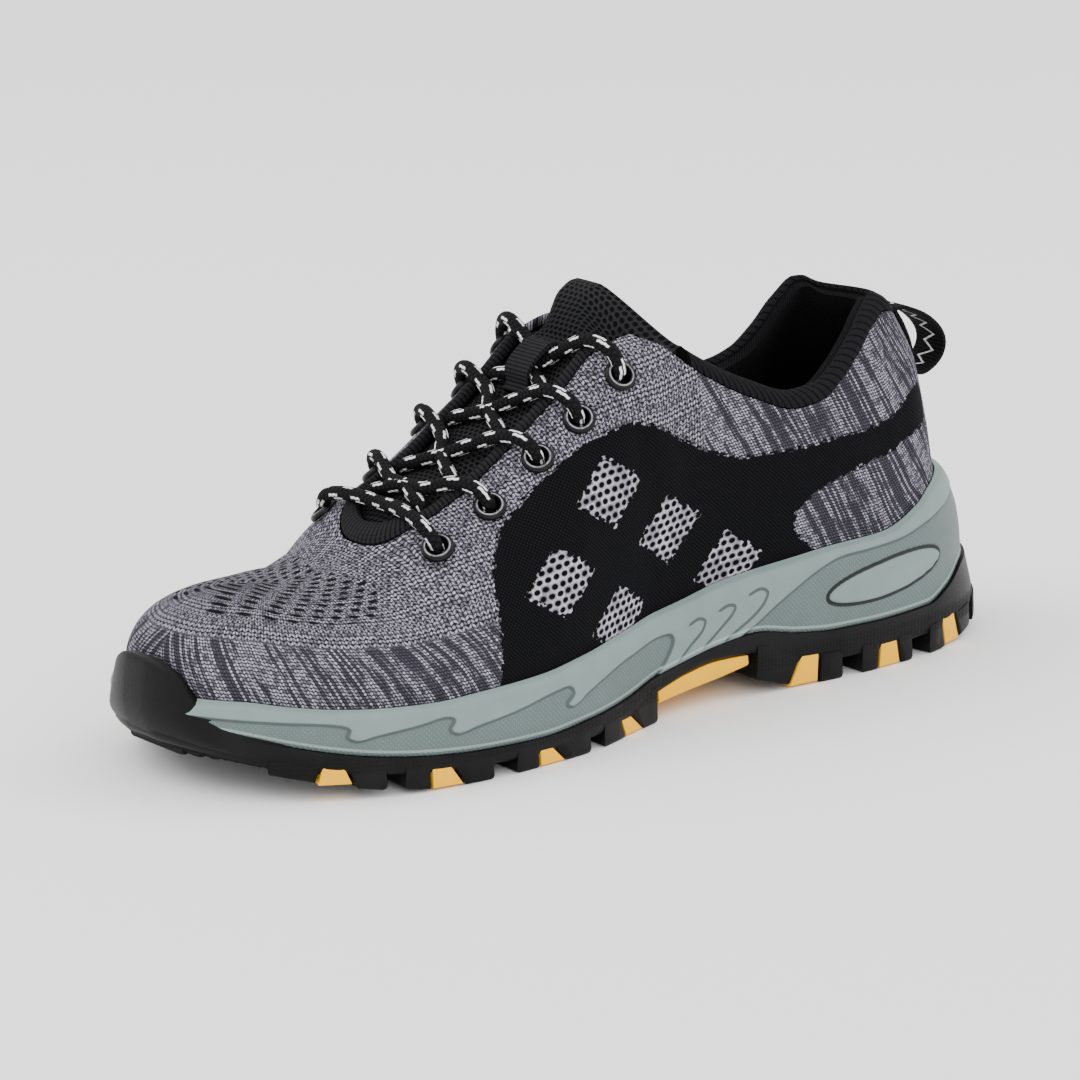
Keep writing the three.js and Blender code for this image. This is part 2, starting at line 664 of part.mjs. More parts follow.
// The cup that wraps the foot of the upper
function midsole() {
  const wave = (at) => waveShare(at) * CUP_HEIGHT;
  const side = (name) => MIDSOLE_SIDE[name] * SIDE_TAPER;
  const rows = [
    (st) => layerMiddle(st, seamHeight),
    (st) => layer(st, INNER_ROW, seamHeight),
    (st) => layer(st, side('foot') + FIELD_DEPTH, seamHeight),
    (st) => inset(st, side('low') + FIELD_DEPTH, mix(seamHeight(st.at), wave(st.at), 0.35)),
    (st) => inset(st, side('band') + FIELD_DEPTH, wave(st.at) - 0.3),
    (st) => inset(st, side('band'), wave(st.at) + 0.3),
    (st) => inset(st, side('shoulder'), mix(wave(st.at), rimHeight(st.at), 0.7)),
    (st) => inset(st, side('top'), rimHeight(st.at) - 0.5),
    (st) => inset(st, mix(side('top'), SIDE_TAPER + LIP_WALL, 0.5), rimHeight(st.at)),
    (st) => inset(st, SIDE_TAPER + LIP_WALL, rimHeight(st.at) - 0.4),
    (st) => layer(st, SIDE_TAPER + LIP_WALL, bedHeight),
    (st) => layer(st, INNER_ROW, bedHeight),
    (st) => layerMiddle(st, bedHeight),
  ];
  const cup = shell(allStations(), rows);
  return cup.subtract(bumperRoom()).subtract(ovalGroove(1)).subtract(ovalGroove(-1));
}

// The last: a section rises from the rim of the cup to the ridge over the spine.
// The angle runs from 0 at the rim to a quarter turn at the ridge.
function lastShares(st, angle) {
  const n = squareOf(st.at);
  const size = (Math.abs(Math.cos(angle)) ** n + Math.abs(Math.sin(angle)) ** n) ** (1 / n);
  return { across: Math.max(0, Math.cos(angle)) / size, up: Math.sin(angle) / size };
}

// Over the hollow of the arch the inner side leans out until it is as wide as the outer one
function archBulge(st) {
  const hollow = halfWidth(st.at, 1) - halfWidth(st.at, -1);
  return st.side < 0 ? ARCH_BULGE * Math.max(0, hollow) : 0;
}

const acrossAt = (st, shares, depth) => (
  (st.run - FEATHER - depth + archBulge(st) * THREE.MathUtils.smoothstep(shares.up, 0, 0.7))
  * shares.across
);

function lastPoint(st, angle, depth = 0) {
  const shares = lastShares(st, angle);
  const rim = rimHeight(st.at);
  return place(st, acrossAt(st, shares, depth), rim + (ridgeHeight(st.at) - rim - depth) * shares.up);
}

function angleAtHeight(st, z, depth = 0) {
  const n = squareOf(st.at);
  const rim = rimHeight(st.at);
  const up = THREE.MathUtils.clamp((z - rim) / (ridgeHeight(st.at) - rim - depth), 0, 1);
  return Math.atan2(up, (1 - up ** n) ** (1 / n));
}

// Halves the span of angles until the section's face is the wanted distance from the spine
function angleAcross(st, distance) {
  let [low, high] = [0.02, Math.PI / 2];
  for (let i = 0; i < 30; i += 1) {
    const middle = (low + high) / 2;
    if (acrossAt(st, lastShares(st, middle), 0) > distance) low = middle;
    else high = middle;
  }
  return (low + high) / 2;
}

// Half width of the throat, square behind and round at its front end
function throatHalf(at) {
  if (at <= THROAT.turn) return THROAT_WIDTH / 2;
  const x = Math.min(1, (at - THROAT.turn) / (THROAT.front - THROAT.turn));
  return THROAT_WIDTH / 2 * Math.sqrt(1 - x * x);
}

function edgeAngle(st) {
  if (st.at < THROAT.rear) return angleAtHeight(st, collarHeight(st.at, st.side));
  if (st.at < THROAT.front) return angleAcross(st, throatHalf(st.at));
  return Math.PI / 2;
}

const UPPER_ROWS = 7;
const THROAT_PLACES = [
  THROAT.rear - 0.004, THROAT.rear, THROAT.turn, 0.726, 0.740, 0.750, 0.7535, THROAT.front,
];
const BINDING_START = 0.515;

// The lower rows pass the corner of the throat unchanged; the upper ones spread to the edge
function rowAngle(st, row) {
  const even = 4;
  const edge = edgeAngle(st);
  const shoulder = mix(0.6, 0.9, THREE.MathUtils.smoothstep(st.at, 0.55, 0.75));
  const base = Math.min(0.8 * edge, shoulder);
  if (row <= even) return base * row / even;
  return base + (edge - base) * (row - even) / (UPPER_ROWS - even);
}

// The upper is one wall: its outer face up from the cup, its edge, and its inner face down again
function upperWall() {
  const stations = allStations(THROAT_PLACES);
  const count = stations.length;
  const face = (depth) => {
    const rows = [stations.map((st) => layer(st, FEATHER + depth, (at) => bedHeight(at) + CLEARANCE))];
    for (let r = 0; r <= UPPER_ROWS; r += 1) {
      rows.push(stations.map((st) => lastPoint(st, rowAngle(st, r), depth)));
    }
    return rows;
  };
  const outer = face(0);
  const inner = face(UPPER_WALL);
  const rows = outer.length;
  const points = [...outer, ...inner].flat();
  const id = (r, c, within) => (within ? rows * count : 0) + r * count + (c % count);
  const triangles = [];
  const quad = (a, b, c, d) => triangles.push([a, b, c], [a, c, d]);
  for (let c = 0; c < count; c += 1) {
    for (let r = 0; r + 1 < rows; r += 1) {
      quad(id(r, c), id(r, c + 1), id(r + 1, c + 1), id(r + 1, c));
      quad(id(r, c, true), id(r + 1, c, true), id(r + 1, c + 1, true), id(r, c + 1, true));
    }
    quad(id(0, c), id(0, c, true), id(0, c + 1, true), id(0, c + 1));
    const open = Math.min(stations[c].at, stations[(c + 1) % count].at) < THROAT.front;
    const top = rows - 1;
    if (open) quad(id(top, c), id(top, c + 1), id(top, c + 1, true), id(top, c, true));
  }
  return closedSolid(points, triangles);
}

// A point over the upper beside the spine, lifted off its face
function overUpper(at, x, lift = 0) {
  const st = station(at, x < 0 ? -1 : 1);
  const near = (share, across) => {
    const other = station(share, st.side);
    return lastPoint(other, angleAcross(other, Math.max(across, 0)));
  };
  const step = 0.002;
  const across = Math.max(Math.abs(x), 0.5);
  const point = lastPoint(st, angleAcross(st, Math.abs(x)));
  const along = near(at + step, across).sub(near(at - step, across));
  const over = near(at, across + 0.4).sub(near(at, across - 0.4));
  const normal = along.cross(over).normalize();
  if (normal.z < 0) normal.negate();
  if (Math.abs(x) < 0.5) normal.setX(0).normalize();
  return { point: point.addScaledVector(normal, lift), normal };
}

function turned(geometry, origin, axis) {
  const turn = new THREE.Quaternion().setFromUnitVectors(new THREE.Vector3(0, 1, 0), axis);
  return geometry.applyQuaternion(turn).translate(origin.x, origin.y, origin.z);
}

function solidOf(geometry) {
  const bare = geometry.clone();
  bare.deleteAttribute('normal');
  bare.deleteAttribute('uv');
  const merged = mergeVertices(bare, 1e-4);
  const position = merged.attributes.position;
  const at = (i) => new THREE.Vector3().fromBufferAttribute(position, i);
  const points = Array.from({ length: position.count }, (_, i) => at(i));
  const index = Array.from(merged.index.array);
  const triangles = [];
  for (let i = 0; i < index.length; i += 3) triangles.push(index.slice(i, i + 3));
  return closedSolid(points, triangles);
}

const SIDES = 8;
const FLANGE_LIFT = CLEARANCE * 2.6;

function upper() {
  let wall = upperWall();
  const radius = EYELET_BORE / 2 + EYELET_BARREL + CLEARANCE;
  EYELETS.forEach((at) => [1, -1].forEach((side) => {
    const { point, normal } = overUpper(at, side * EYELET_SPACING / 2);
    const drill = new THREE.CylinderGeometry(radius, radius, UPPER_WALL * 4, SIDES);
    wall = wall.subtract(solidOf(turned(drill, point, normal)));
  }));
  return wall;
}

function eyelet(at, side) {
  const { point, normal } = overUpper(at, side * EYELET_SPACING / 2);
  const bore = EYELET_BORE / 2;
  const barrel = bore + EYELET_BARREL;
  const profile = [
    [bore, -EYELET_DEPTH],
    [barrel, -EYELET_DEPTH],
    [barrel, FLANGE_LIFT],
    [barrel + EYELET_FLANGE, FLANGE_LIFT],
    [barrel + EYELET_FLANGE * 0.6, FLANGE_LIFT + EYELET_RIM],
    [bore, FLANGE_LIFT + EYELET_RIM],
    [bore, -EYELET_DEPTH],
  ].map(([x, y]) => new THREE.Vector2(x, y));
  return solidOf(turned(new THREE.LatheGeometry(profile, SIDES), point, normal));
}

function insole() {
  const edge = FEATHER + UPPER_WALL + CLEARANCE;
  const foot = (at) => bedHeight(at) + CLEARANCE;
  const top = (at) => foot(at) + INSOLE_THICKNESS;
  const rows = [
    (st) => layerMiddle(st, foot),
    (st) => layer(st, INNER_ROW, foot),
    (st) => layer(st, edge, foot),
    (st) => layer(st, edge + 1.2, top),
    (st) => layer(st, INNER_ROW, top),
    (st) => layerMiddle(st, top),
  ];
  return shell(allStations(), rows);
}

// Section of the padded collar: height over the upper's edge and depth inside its outer face
function collar() {
  const wall = UPPER_WALL + CLEARANCE * 2;
  const thick = wall + COLLAR_PAD;
  const profile = [
    { up: CLEARANCE, depth: wall },
    { up: CLEARANCE, depth: -0.2 },
    { up: COLLAR_ROLL * 0.5, depth: -0.5 },
    { up: COLLAR_ROLL * 0.95, depth: 1.4 },
    { up: COLLAR_ROLL, depth: thick * 0.5 },
    { up: COLLAR_ROLL * 0.6, depth: thick * 0.88 },
    { up: -COLLAR_DROP * 0.1, depth: thick },
    { up: -COLLAR_DROP * 0.45, depth: thick * 0.9 },
    { up: -COLLAR_DROP * 0.8, depth: thick * 0.62 },
    { up: -COLLAR_DROP, depth: wall + 1.2 },
    { up: -COLLAR_DROP, depth: wall },
    { up: -COLLAR_DROP * 0.5, depth: wall },
  ];
  const rings = endStations(COLLAR_END).map((st) => {
    const edge = collarHeight(st.at, st.side);
    const floor = rimHeight(st.at) + 2;
    return profile.map(({ up, depth }) => {
      const z = Math.max(edge + up, floor + up / COLLAR_DROP);
      return lastPoint(st, angleAtHeight(st, z, depth), depth);
    });
  });
  return loft(rings);
}

// The edge of the throat in plan, from the ankle around its front end
function throatPath() {
  const places = placesAlong(BINDING_START, THROAT.front, THROAT_PLACES);
  const path = places.map((at) => ({ at, x: throatHalf(at) }));
  const back = path.slice(0, -1).reverse().map(({ at, x }) => ({ at, x: -x }));
  return [...path, ...back];
}

function throatBinding() {
  const path = throatPath();
  const plan = path.map(({ at, x }) => new THREE.Vector2(x, alongToY(at)));
  const rings = path.map(({ at, x }, i) => {
    const before = plan[Math.max(i - 1, 0)];
    const after = plan[Math.min(i + 1, plan.length - 1)];
    const inward = new THREE.Vector2(before.y - after.y, after.x - before.x).normalize();
    if (inward.dot(new THREE.Vector2(-x, Math.abs(x) < 1 ? 1 : 0)) < 0) inward.negate();
    const wide = BINDING_WIDTH * (1 + 0.5 * THREE.MathUtils.smoothstep(at, THROAT.turn, THROAT.front));
    const corner = (distance, lift) => {
      const spot = plan[i].clone().addScaledVector(inward, distance);
      return overUpper(0.5 - spot.y / LENGTH, spot.x, lift).point;
    };
    const gap = CLEARANCE * 1.3;
    return [
      corner(gap, -UPPER_WALL),
      corner(gap, 0.3),
      corner(mix(gap, wide, 0.5), ROLL_HEIGHT),
      corner(wide, 0.3),
      corner(wide, -UPPER_WALL + 0.4),
    ];
  });
  return loft(rings);
}

// Points across the tongue from the outer side to the inner one
const ACROSS = [1, 0.82, 0.6, 0.38, 0.18, 0, -0.18, -0.38, -0.6, -0.82, -1];

// How far the middle of the tongue stands over its own sides
const swellShape = (share) => (1 - Math.min(1, (share / 0.62) ** 2)) ** 2;

function tongue() {
  const deep = TONGUE_DEPTH;
  const padAt = (share) => TONGUE_PAD * (1 - 0.6 * share ** 4);
  const under = TONGUE_BODY.map(({ at, half, swell }) => {
    const level = (share) => -deep + TONGUE_PAD * swell * swellShape(share);
    const point = (share, lift) => overUpper(at, share * half * TONGUE_WIDTH / 2, lift).point;
    const front = ACROSS.map((share) => point(share, level(share)));
    const back = ACROSS.map((share) => point(share, level(share) - padAt(share))).reverse();
    return [...front, ...back];
  });
  const over = TONGUE_TOP.map(({ at, height, fall, slide, half }, i) => {
    const shoulder = (share) => THREE.MathUtils.smoothstep(Math.abs(share), 0.2, 0.95);
    const point = (share, depth) => new THREE.Vector3(
      share * half * TONGUE_WIDTH / 2,
      alongToY(at - slide * shoulder(share)) + depth * 0.62,
      (height - fall * shoulder(share)) * INSTEP_HEIGHT - depth * 0.78,
    );
    const thin = i === TONGUE_TOP.length - 1 ? 0.25 : 0;
    const front = ACROSS.map((share) => point(share, padAt(share) * thin));
    const back = ACROSS.map((share) => point(share, padAt(share) * (1 - thin))).reverse();
    return [...front, ...back];
  });
  return loft([...under, ...over]);
}

// Height of the tongue's face over the last, and a point that clears it
const tongueSwell = column([...TONGUE_BODY].reverse(), 'swell');

function overTongue(at, x, lift) {
  const share = Math.abs(x) / (TONGUE_WIDTH / 2);
  const face = -TONGUE_DEPTH + TONGUE_PAD * tongueSwell(at) * swellShape(share);
  return overUpper(at, x, face + lift).point;
}

// A round cord along a curve
function cord(points, steps) {
  const path = new THREE.CatmullRomCurve3(points, false, 'centripetal');
  const round = new THREE.Shape();
  round.absarc(0, 0, LACE_DIAMETER / 2, 0, Math.PI * 2);
  const geometry = new THREE.ExtrudeGeometry(round, { steps, extrudePath: path, curveSegments: 4 });
  return solidOf(geometry);
}

const LACE_RADIUS = LACE_DIAMETER / 2;

// One run of lace from under a facing, over the tongue and the other facing to its eyelet
function laceRun(from, to, side) {
  const half = EYELET_SPACING / 2;
  const lift = LACE_RADIUS + CLEARANCE;
  const seat = FLANGE_LIFT + EYELET_RIM + CLEARANCE + LACE_RADIUS;
  const first = Math.min(from, THROAT.turn) + 0.006;
  const start = THROAT_WIDTH / 2 - BINDING_WIDTH - LACE_RADIUS - CLEARANCE * 4;
  const over = ROLL_HEIGHT + CLEARANCE * 2 + LACE_RADIUS;
  return cord([
    overTongue(first, -side * start, lift + 0.3),
    overTongue(mix(first, to, 0.1), -side * start * 0.5, lift + 0.1),
    overTongue(mix(first, to, 0.24), 0, lift + 0.3),
    overTongue(mix(from, to, 0.50), side * start * 0.62, lift + 0.8),
    overUpper(mix(from, to, 0.80), side * (half - 9.5), over).point,
    overUpper(mix(from, to, 0.95), side * (half - 4), seat + 0.2).point,
    overUpper(to, side * half, seat).point,
  ], 12);
}

function laceCross(i) {
  const [high, low] = [EYELETS[i], EYELETS[i + 1]];
  return laceRun(low, high, 1).add(laceRun(low, high, -1));
}

function laceBar() {
  const at = EYELETS[EYELETS.length - 1];
  const half = EYELET_SPACING / 2;
  const seat = FLANGE_LIFT + EYELET_RIM + CLEARANCE + LACE_RADIUS;
  const over = ROLL_HEIGHT + CLEARANCE * 2 + LACE_RADIUS;
  const side = (sign) => [
    overUpper(at, sign * half, seat).point,
    overUpper(at, sign * (half - 5), seat + 0.2).point,
    overUpper(at, sign * (half - 10.5), over).point,
    overUpper(at, sign * (half - 18), over * 0.5).point,
  ];
  return cord([...side(1), overUpper(at, 0, 0.4).point, ...side(-1).reverse()], 12);
}

// The tape across the top crossing, stitched to the tongue at both ends
function tongueKeeper() {
  const middle = mix(EYELETS[0], EYELETS[1], 0.78);
  const reach = 0.022;
  const high = LACE_DIAMETER + CLEARANCE * 5;
  const spots = [
    { share: -1.25, lift: CLEARANCE },
    { share: -1, lift: CLEARANCE * 3 },
    { share: -0.7, lift: high * 0.85 },
    { share: 0, lift: high + 0.5 },
    { share: 0.7, lift: high * 0.85 },
    { share: 1, lift: CLEARANCE * 3 },
    { share: 1.25, lift: CLEARANCE },
  ];
  const rings = spots.map(({ share, lift }) => {
    const at = middle + share * reach;
    const half = KEEPER_WIDTH / 2;
    return [
      overTongue(at, half, lift),
      overTongue(at, half, lift + TAPE_THICKNESS),
      overTongue(at, 0, lift + TAPE_THICKNESS),
      overTongue(at, -half, lift + TAPE_THICKNESS),
      overTongue(at, -half, lift),
      overTongue(at, 0, lift),
    ];
  });
  return loft(rings);
}

// The webbing loop behind the heel: an upright ring, flat against the upper
function pullLoop() {
  const heel = station(0, 1);
  const foot = collarHeight(0) - LOOP_HEIGHT;
  const back = (z) => lastPoint(heel, angleAtHeight(heel, z)).y + CLEARANCE * 2;
  const outline = [];
  for (let i = 0; i < 5; i += 1) {
    const z = foot + LOOP_HEIGHT * (0.04 + 0.92 * i / 4);
    outline.push(new THREE.Vector2(back(z), z));
  }
  for (let i = 1; i < 12; i += 1) {
    const angle = Math.PI / 2 - i / 12 * Math.PI;
    const z = foot + LOOP_HEIGHT / 2 * (1 + Math.sin(angle));
    outline.push(new THREE.Vector2(back(z) + LOOP_REACH * Math.cos(angle), z));
  }
  const rings = outline.map((spot, i) => {
    const before = outline[(i + outline.length - 1) % outline.length];
    const after = outline[(i + 1) % outline.length];
    const inward = new THREE.Vector2(after.y - before.y, before.x - after.x).normalize();
    const inner = spot.clone().addScaledVector(inward, TAPE_THICKNESS);
    return [[1, spot], [1, inner], [-1, inner], [-1, spot]]
      .map(([side, at]) => new THREE.Vector3(side * LOOP_WIDTH / 2, at.x, at.y));
  });
  return loft(rings, true);
}

// Materials
const finish = (color, roughness, metalness = 0) => ({ color, roughness, metalness });
const RUBBER = finish(0x2a2a2b, 0.75);
const FOAM = finish(0x8fa09d, 0.7);
const YELLOW = finish(0xfdc505, 0.5);
const KNIT = finish(0x9c99a6, 0.95);
const PADDING = finish(0x1c1c1e, 0.95);
const WEBBING = finish(0x202022, 0.9);
const LACE = finish(0x18181a, 0.85);
const ENAMEL = finish(0x1a1a1c, 0.3, 0.6);

const shoe = new THREE.Group();

function addPart(name, solid, look) {
  const mesh = solid.getMesh();
  const geometry = new THREE.BufferGeometry();
  geometry.setAttribute('position', new THREE.BufferAttribute(mesh.vertProperties, 3));
  geometry.setIndex(new THREE.BufferAttribute(mesh.triVerts, 1));
  const part = new THREE.Mesh(geometry, new THREE.MeshStandardMaterial(look));
  part.name = name;
  shoe.add(part);
}

addPart('outsole', outsole(), RUBBER);
addPart('midsole', midsole(), FOAM);
addPart('arch_plate', archPlate(), YELLOW);
[[1, 'outer'], [-1, 'inner']].forEach(([side, name]) => LUGS.forEach((lug, i) => {
  addPart(`lug_insert_${name}_${i + 1}`, insertPrism(lug, side, 0), YELLOW);
}));
addPart('upper', upper(), KNIT);
addPart('insole', insole(), PADDING);
addPart('tongue', tongue(), PADDING);
addPart('collar', collar(), PADDING);
addPart('throat_binding', throatBinding(), WEBBING);
[[1, 'outer'], [-1, 'inner']].forEach(([side, name]) => EYELETS.forEach((at, i) => {
  addPart(`eyelet_${name}_${i + 1}`, eyelet(at, side), ENAMEL);
}));
for (let i = 0; i + 1 < EYELETS.length; i += 1) addPart(`lace_cross_${i + 1}`, laceCross(i), LACE);
addPart('lace_bar', laceBar(), LACE);
addPart('tongue_keeper', tongueKeeper(), WEBBING);
addPart('pull_loop', pullLoop(), WEBBING);

export default shoe;
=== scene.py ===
"""A low lace-up work shoe in knitted fabric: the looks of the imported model."""

import math

import bmesh
import bpy
import numpy as np
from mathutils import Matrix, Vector


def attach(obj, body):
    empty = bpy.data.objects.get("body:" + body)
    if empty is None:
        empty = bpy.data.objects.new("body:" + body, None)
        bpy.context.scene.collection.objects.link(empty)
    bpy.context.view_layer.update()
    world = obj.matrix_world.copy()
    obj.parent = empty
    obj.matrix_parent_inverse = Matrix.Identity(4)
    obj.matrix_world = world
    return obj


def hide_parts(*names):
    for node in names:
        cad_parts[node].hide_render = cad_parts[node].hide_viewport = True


bl_info = {
    "name": "Work shoe",
    "version": (1, 0, 0),
    "blender": (4, 5, 0),
    "location": "View3D > Sidebar > Work shoe",
    "description": "Builds a knitted work shoe around its solid model",
    "category": "Add Mesh",
}

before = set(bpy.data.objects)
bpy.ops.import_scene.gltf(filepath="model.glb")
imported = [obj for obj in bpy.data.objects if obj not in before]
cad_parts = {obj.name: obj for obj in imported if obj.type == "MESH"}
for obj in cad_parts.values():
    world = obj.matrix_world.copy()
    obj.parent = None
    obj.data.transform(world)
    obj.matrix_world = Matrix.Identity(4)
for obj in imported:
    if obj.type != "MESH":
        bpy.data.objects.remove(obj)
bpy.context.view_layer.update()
NODES = sorted(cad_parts)
MM = 0.001


class Table:
    """Rows of values with named columns"""

    def __init__(self, names, rows):
        self.rows = np.array(rows, float)
        self.names = names.split()

    def __getitem__(self, name):
        return self.rows[:, self.names.index(name)]

    def curve(self, name):
        """A smooth function through one column, without overshoot"""
        x, y = self["at"], self[name]
        rise = np.diff(y) / np.diff(x)
        slope = np.zeros(len(y))
        slope[0], slope[-1] = rise[0], rise[-1]
        a, b = rise[:-1], rise[1:]
        same = a * b > 0
        slope[1:-1][same] = (2 * a * b)[same] / (a + b)[same]

        def value(at):
            t = np.clip(np.asarray(at, float), x[0], x[-1])
            i = np.clip(np.searchsorted(x, t, side="left"), 1, len(x) - 1) - 1
            step = x[i + 1] - x[i]
            s = (t - x[i]) / step
            ease = y[i] * (1 + 2 * s) * (1 - s) ** 2 + y[i + 1] * s * s * (3 - 2 * s)
            return ease + step * (slope[i] * s * (1 - s) ** 2 - slope[i + 1] * s * s * (1 - s))
        return value


# Half widths of the sole from the heel to the toe
OUTLINE = Table("at outer inner", (
    (0.000, 0.667, 0.667),
    (0.135, 0.674, 0.670),
    (0.220, 0.715, 0.676),
    (0.304, 0.707, 0.630),
    (0.389, 0.689, 0.583),
    (0.486, 0.733, 0.611),
    (0.541, 0.833, 0.685),
    (0.605, 0.944, 0.796),
    (0.659, 0.987, 0.889),
    (0.720, 1.000, 0.972),
    (0.764, 0.993, 1.000),
    (1.000, 0.926, 0.963),
))

# Heights of the layers of the sole
SOLE = Table("at rim seam bed root tread", (
    (0.000, 1.020, 0.480, 0.620, 0.180, 0.080),
    (0.051, 1.010, 0.459, 0.596, 0.153, 0.050),
    (0.095, 0.972, 0.366, 0.577, 0.135, 0.014),
    (0.135, 0.896, 0.296, 0.562, 0.124, 0.000),
    (0.196, 0.802, 0.290, 0.542, 0.114, 0.000),
    (0.264, 0.784, 0.293, 0.527, 0.116, 0.000),
    (0.311, 0.760, 0.320, 0.518, 0.142, 0.006),
    (0.365, 0.730, 0.372, 0.499, 0.252, 0.086),
    (0.412, 0.695, 0.348, 0.470, 0.262, 0.120),
    (0.453, 0.651, 0.310, 0.441, 0.234, 0.078),
    (0.503, 0.613, 0.262, 0.401, 0.158, 0.000),
    (0.561, 0.578, 0.208, 0.349, 0.086, 0.000),
    (0.608, 0.546, 0.189, 0.316, 0.080, 0.000),
    (0.669, 0.504, 0.164, 0.288, 0.076, 0.000),
    (0.730, 0.489, 0.172, 0.276, 0.084, 0.000),
    (0.787, 0.476, 0.192, 0.291, 0.099, 0.005),
    (0.845, 0.482, 0.226, 0.320, 0.128, 0.046),
    (0.885, 0.495, 0.263, 0.351, 0.148, 0.081),
    (0.919, 0.515, 0.306, 0.386, 0.172, 0.126),
    (0.956, 0.540, 0.359, 0.421, 0.212, 0.176),
    (0.980, 0.540, 0.385, 0.442, 0.238, 0.208),
    (1.000, 0.540, 0.400, 0.460, 0.260, 0.240),
))

BUMPER = Table("at top", (
    (0.885, 0.250),
    (0.905, 0.276),
    (0.926, 0.324),
    (0.939, 0.348),
    (0.960, 0.388),
    (0.972, 0.458),
    (0.980, 0.516),
    (0.988, 0.626),
    (0.993, 0.686),
    (0.998, 0.722),
    (1.000, 0.730),
))

WAVE = Table("at height", (
    (0.000, 0.920),
    (0.068, 0.880),
    (0.135, 0.770),
    (0.203, 0.720),
    (0.338, 0.670),
    (0.405, 0.620),
    (0.466, 0.532),
    (0.561, 0.404),
    (0.615, 0.312),
    (0.642, 0.392),
    (0.716, 0.338),
    (0.750, 0.300),
    (0.777, 0.392),
    (0.851, 0.330),
    (0.878, 0.408),
    (0.956, 0.446),
    (1.000, 0.472),
))

LAST = Table("at ridge square", (
    (0.000, 1.145, 1.90),
    (0.135, 1.145, 1.90),
    (0.203, 1.145, 2.20),
    (0.304, 1.145, 3.00),
    (0.389, 1.136, 3.20),
    (0.443, 1.064, 3.40),
    (0.466, 0.986, 4.50),
    (0.507, 0.982, 3.10),
    (0.556, 0.891, 2.40),
    (0.605, 0.791, 2.20),
    (0.662, 0.691, 1.95),
    (0.723, 0.604, 1.85),
    (0.757, 0.512, 1.75),
    (0.797, 0.466, 1.90),
    (0.845, 0.450, 2.20),
    (0.912, 0.455, 2.30),
    (1.000, 0.466, 2.30),
))

LEAN = Table("at by", (
    (0.091, 0.000),
    (0.218, 0.200),
    (0.345, 0.360),
    (0.400, 0.490),
    (0.436, 0.575),
    (0.482, 0.645),
    (0.564, 0.710),
    (0.691, 0.790),
    (0.764, 0.820),
    (0.882, 1.000),
    (1.000, 1.200),
))

COLLAR = Table("at outer inner", (
    (0.000, 0.891, 0.891),
    (0.041, 0.898, 0.898),
    (0.095, 0.918, 0.916),
    (0.135, 0.923, 0.914),
    (0.169, 0.909, 0.857),
    (0.189, 0.891, 0.787),
    (0.213, 0.845, 0.726),
    (0.240, 0.791, 0.699),
    (0.270, 0.745, 0.690),
    (0.304, 0.736, 0.702),
    (0.355, 0.782, 0.764),
    (0.402, 0.845, 0.836),
    (0.429, 0.893, 0.890),
    (0.443, 0.925, 0.922),
    (0.455, 0.952, 0.948),
    (0.466, 0.968, 0.962),
))

LUGS = Table("toe heel lowToe lowHeel highToe highHeel top", (
    (0.936, 0.841, 0.899, 0.871, 0.895, 0.879, 0.202),
    (0.824, 0.730, 0.796, 0.764, 0.797, 0.778, 0.126),
    (0.703, 0.608, 0.673, 0.643, 0.674, 0.659, 0.098),
    (0.588, 0.497, 0.550, 0.522, 0.558, 0.542, 0.108),
    (0.365, 0.258, 0.324, 0.289, 0.309, 0.288, 0.180),
    (0.233, 0.162, 0.209, 0.180, 0.207, 0.185, 0.146),
    (0.135, 0.054, 0.107, 0.080, 0.113, 0.092, 0.196),
))

CENTRE_PADS = Table("toe heel", (
    (0.850, 0.800),
    (0.785, 0.705),
    (0.675, 0.595),
    (0.565, 0.505),
    (0.340, 0.265),
    (0.235, 0.155),
))

ARCH_PLATE = Table("at top foot", (
    (0.373, 0.250, 0.186),
    (0.386, 0.254, 0.170),
    (0.412, 0.256, 0.144),
    (0.453, 0.228, 0.120),
    (0.492, 0.176, 0.098),
))

TONGUE_BODY = Table("at half swell", (
    (0.742, 0.42, 0.0),
    (0.723, 0.80, 0.0),
    (0.692, 1.00, 0.0),
    (0.662, 1.00, 0.0),
    (0.632, 1.00, 0.0),
    (0.605, 1.00, -0.1),
    (0.580, 1.00, -0.3),
    (0.556, 1.00, -0.5),
    (0.532, 0.98, -0.5),
    (0.519, 0.96, -0.35),
    (0.507, 0.94, -0.1),
))

TONGUE_TOP = Table("at height fall slide half", (
    (0.497, 1.050, 0.185, 0.028, 0.90),
    (0.484, 1.082, 0.170, 0.042, 0.88),
    (0.476, 1.096, 0.160, 0.053, 0.88),
))


LENGTH = 296.0
BALL_WIDTH = 108.0
CUP_HEIGHT = 50.0
TOE_SWING = 3.0
SIDE_TAPER = 2.2
LIP_WALL = 2.0
FIELD_DEPTH = 0.6
INSTEP_HEIGHT = 110.0
HEEL_LEAN = 20.0
ARCH_BULGE = 0.85
UPPER_WALL = 2.4
THROAT_WIDTH = 36.0
EYELET_SPACING = 52.0
FEATHER = SIDE_TAPER + LIP_WALL + 0.3
HEEL_ROUND, HEEL_FAN, HEEL_POLE = 0.169, 0.203, 0.101
TOE_FAN, TOE_POLE = 0.757, 0.878
THROAT_REAR, THROAT_TURN, THROAT_FRONT = 0.4685, 0.700, 0.755
EYELETS = (0.507, 0.556, 0.605, 0.662, 0.723)

outer_side, inner_side = OUTLINE.curve("outer"), OUTLINE.curve("inner")
ridge_share, square_of = LAST.curve("ridge"), LAST.curve("square")
lean_share = LEAN.curve("by")
outer_collar, inner_collar = COLLAR.curve("outer"), COLLAR.curve("inner")
sole = {name: SOLE.curve(name) for name in ("rim", "seam", "bed", "root", "tread")}
bumper_share, wave_share = BUMPER.curve("top"), WAVE.curve("height")


def level(name, at):
    return sole[name](at) * CUP_HEIGHT


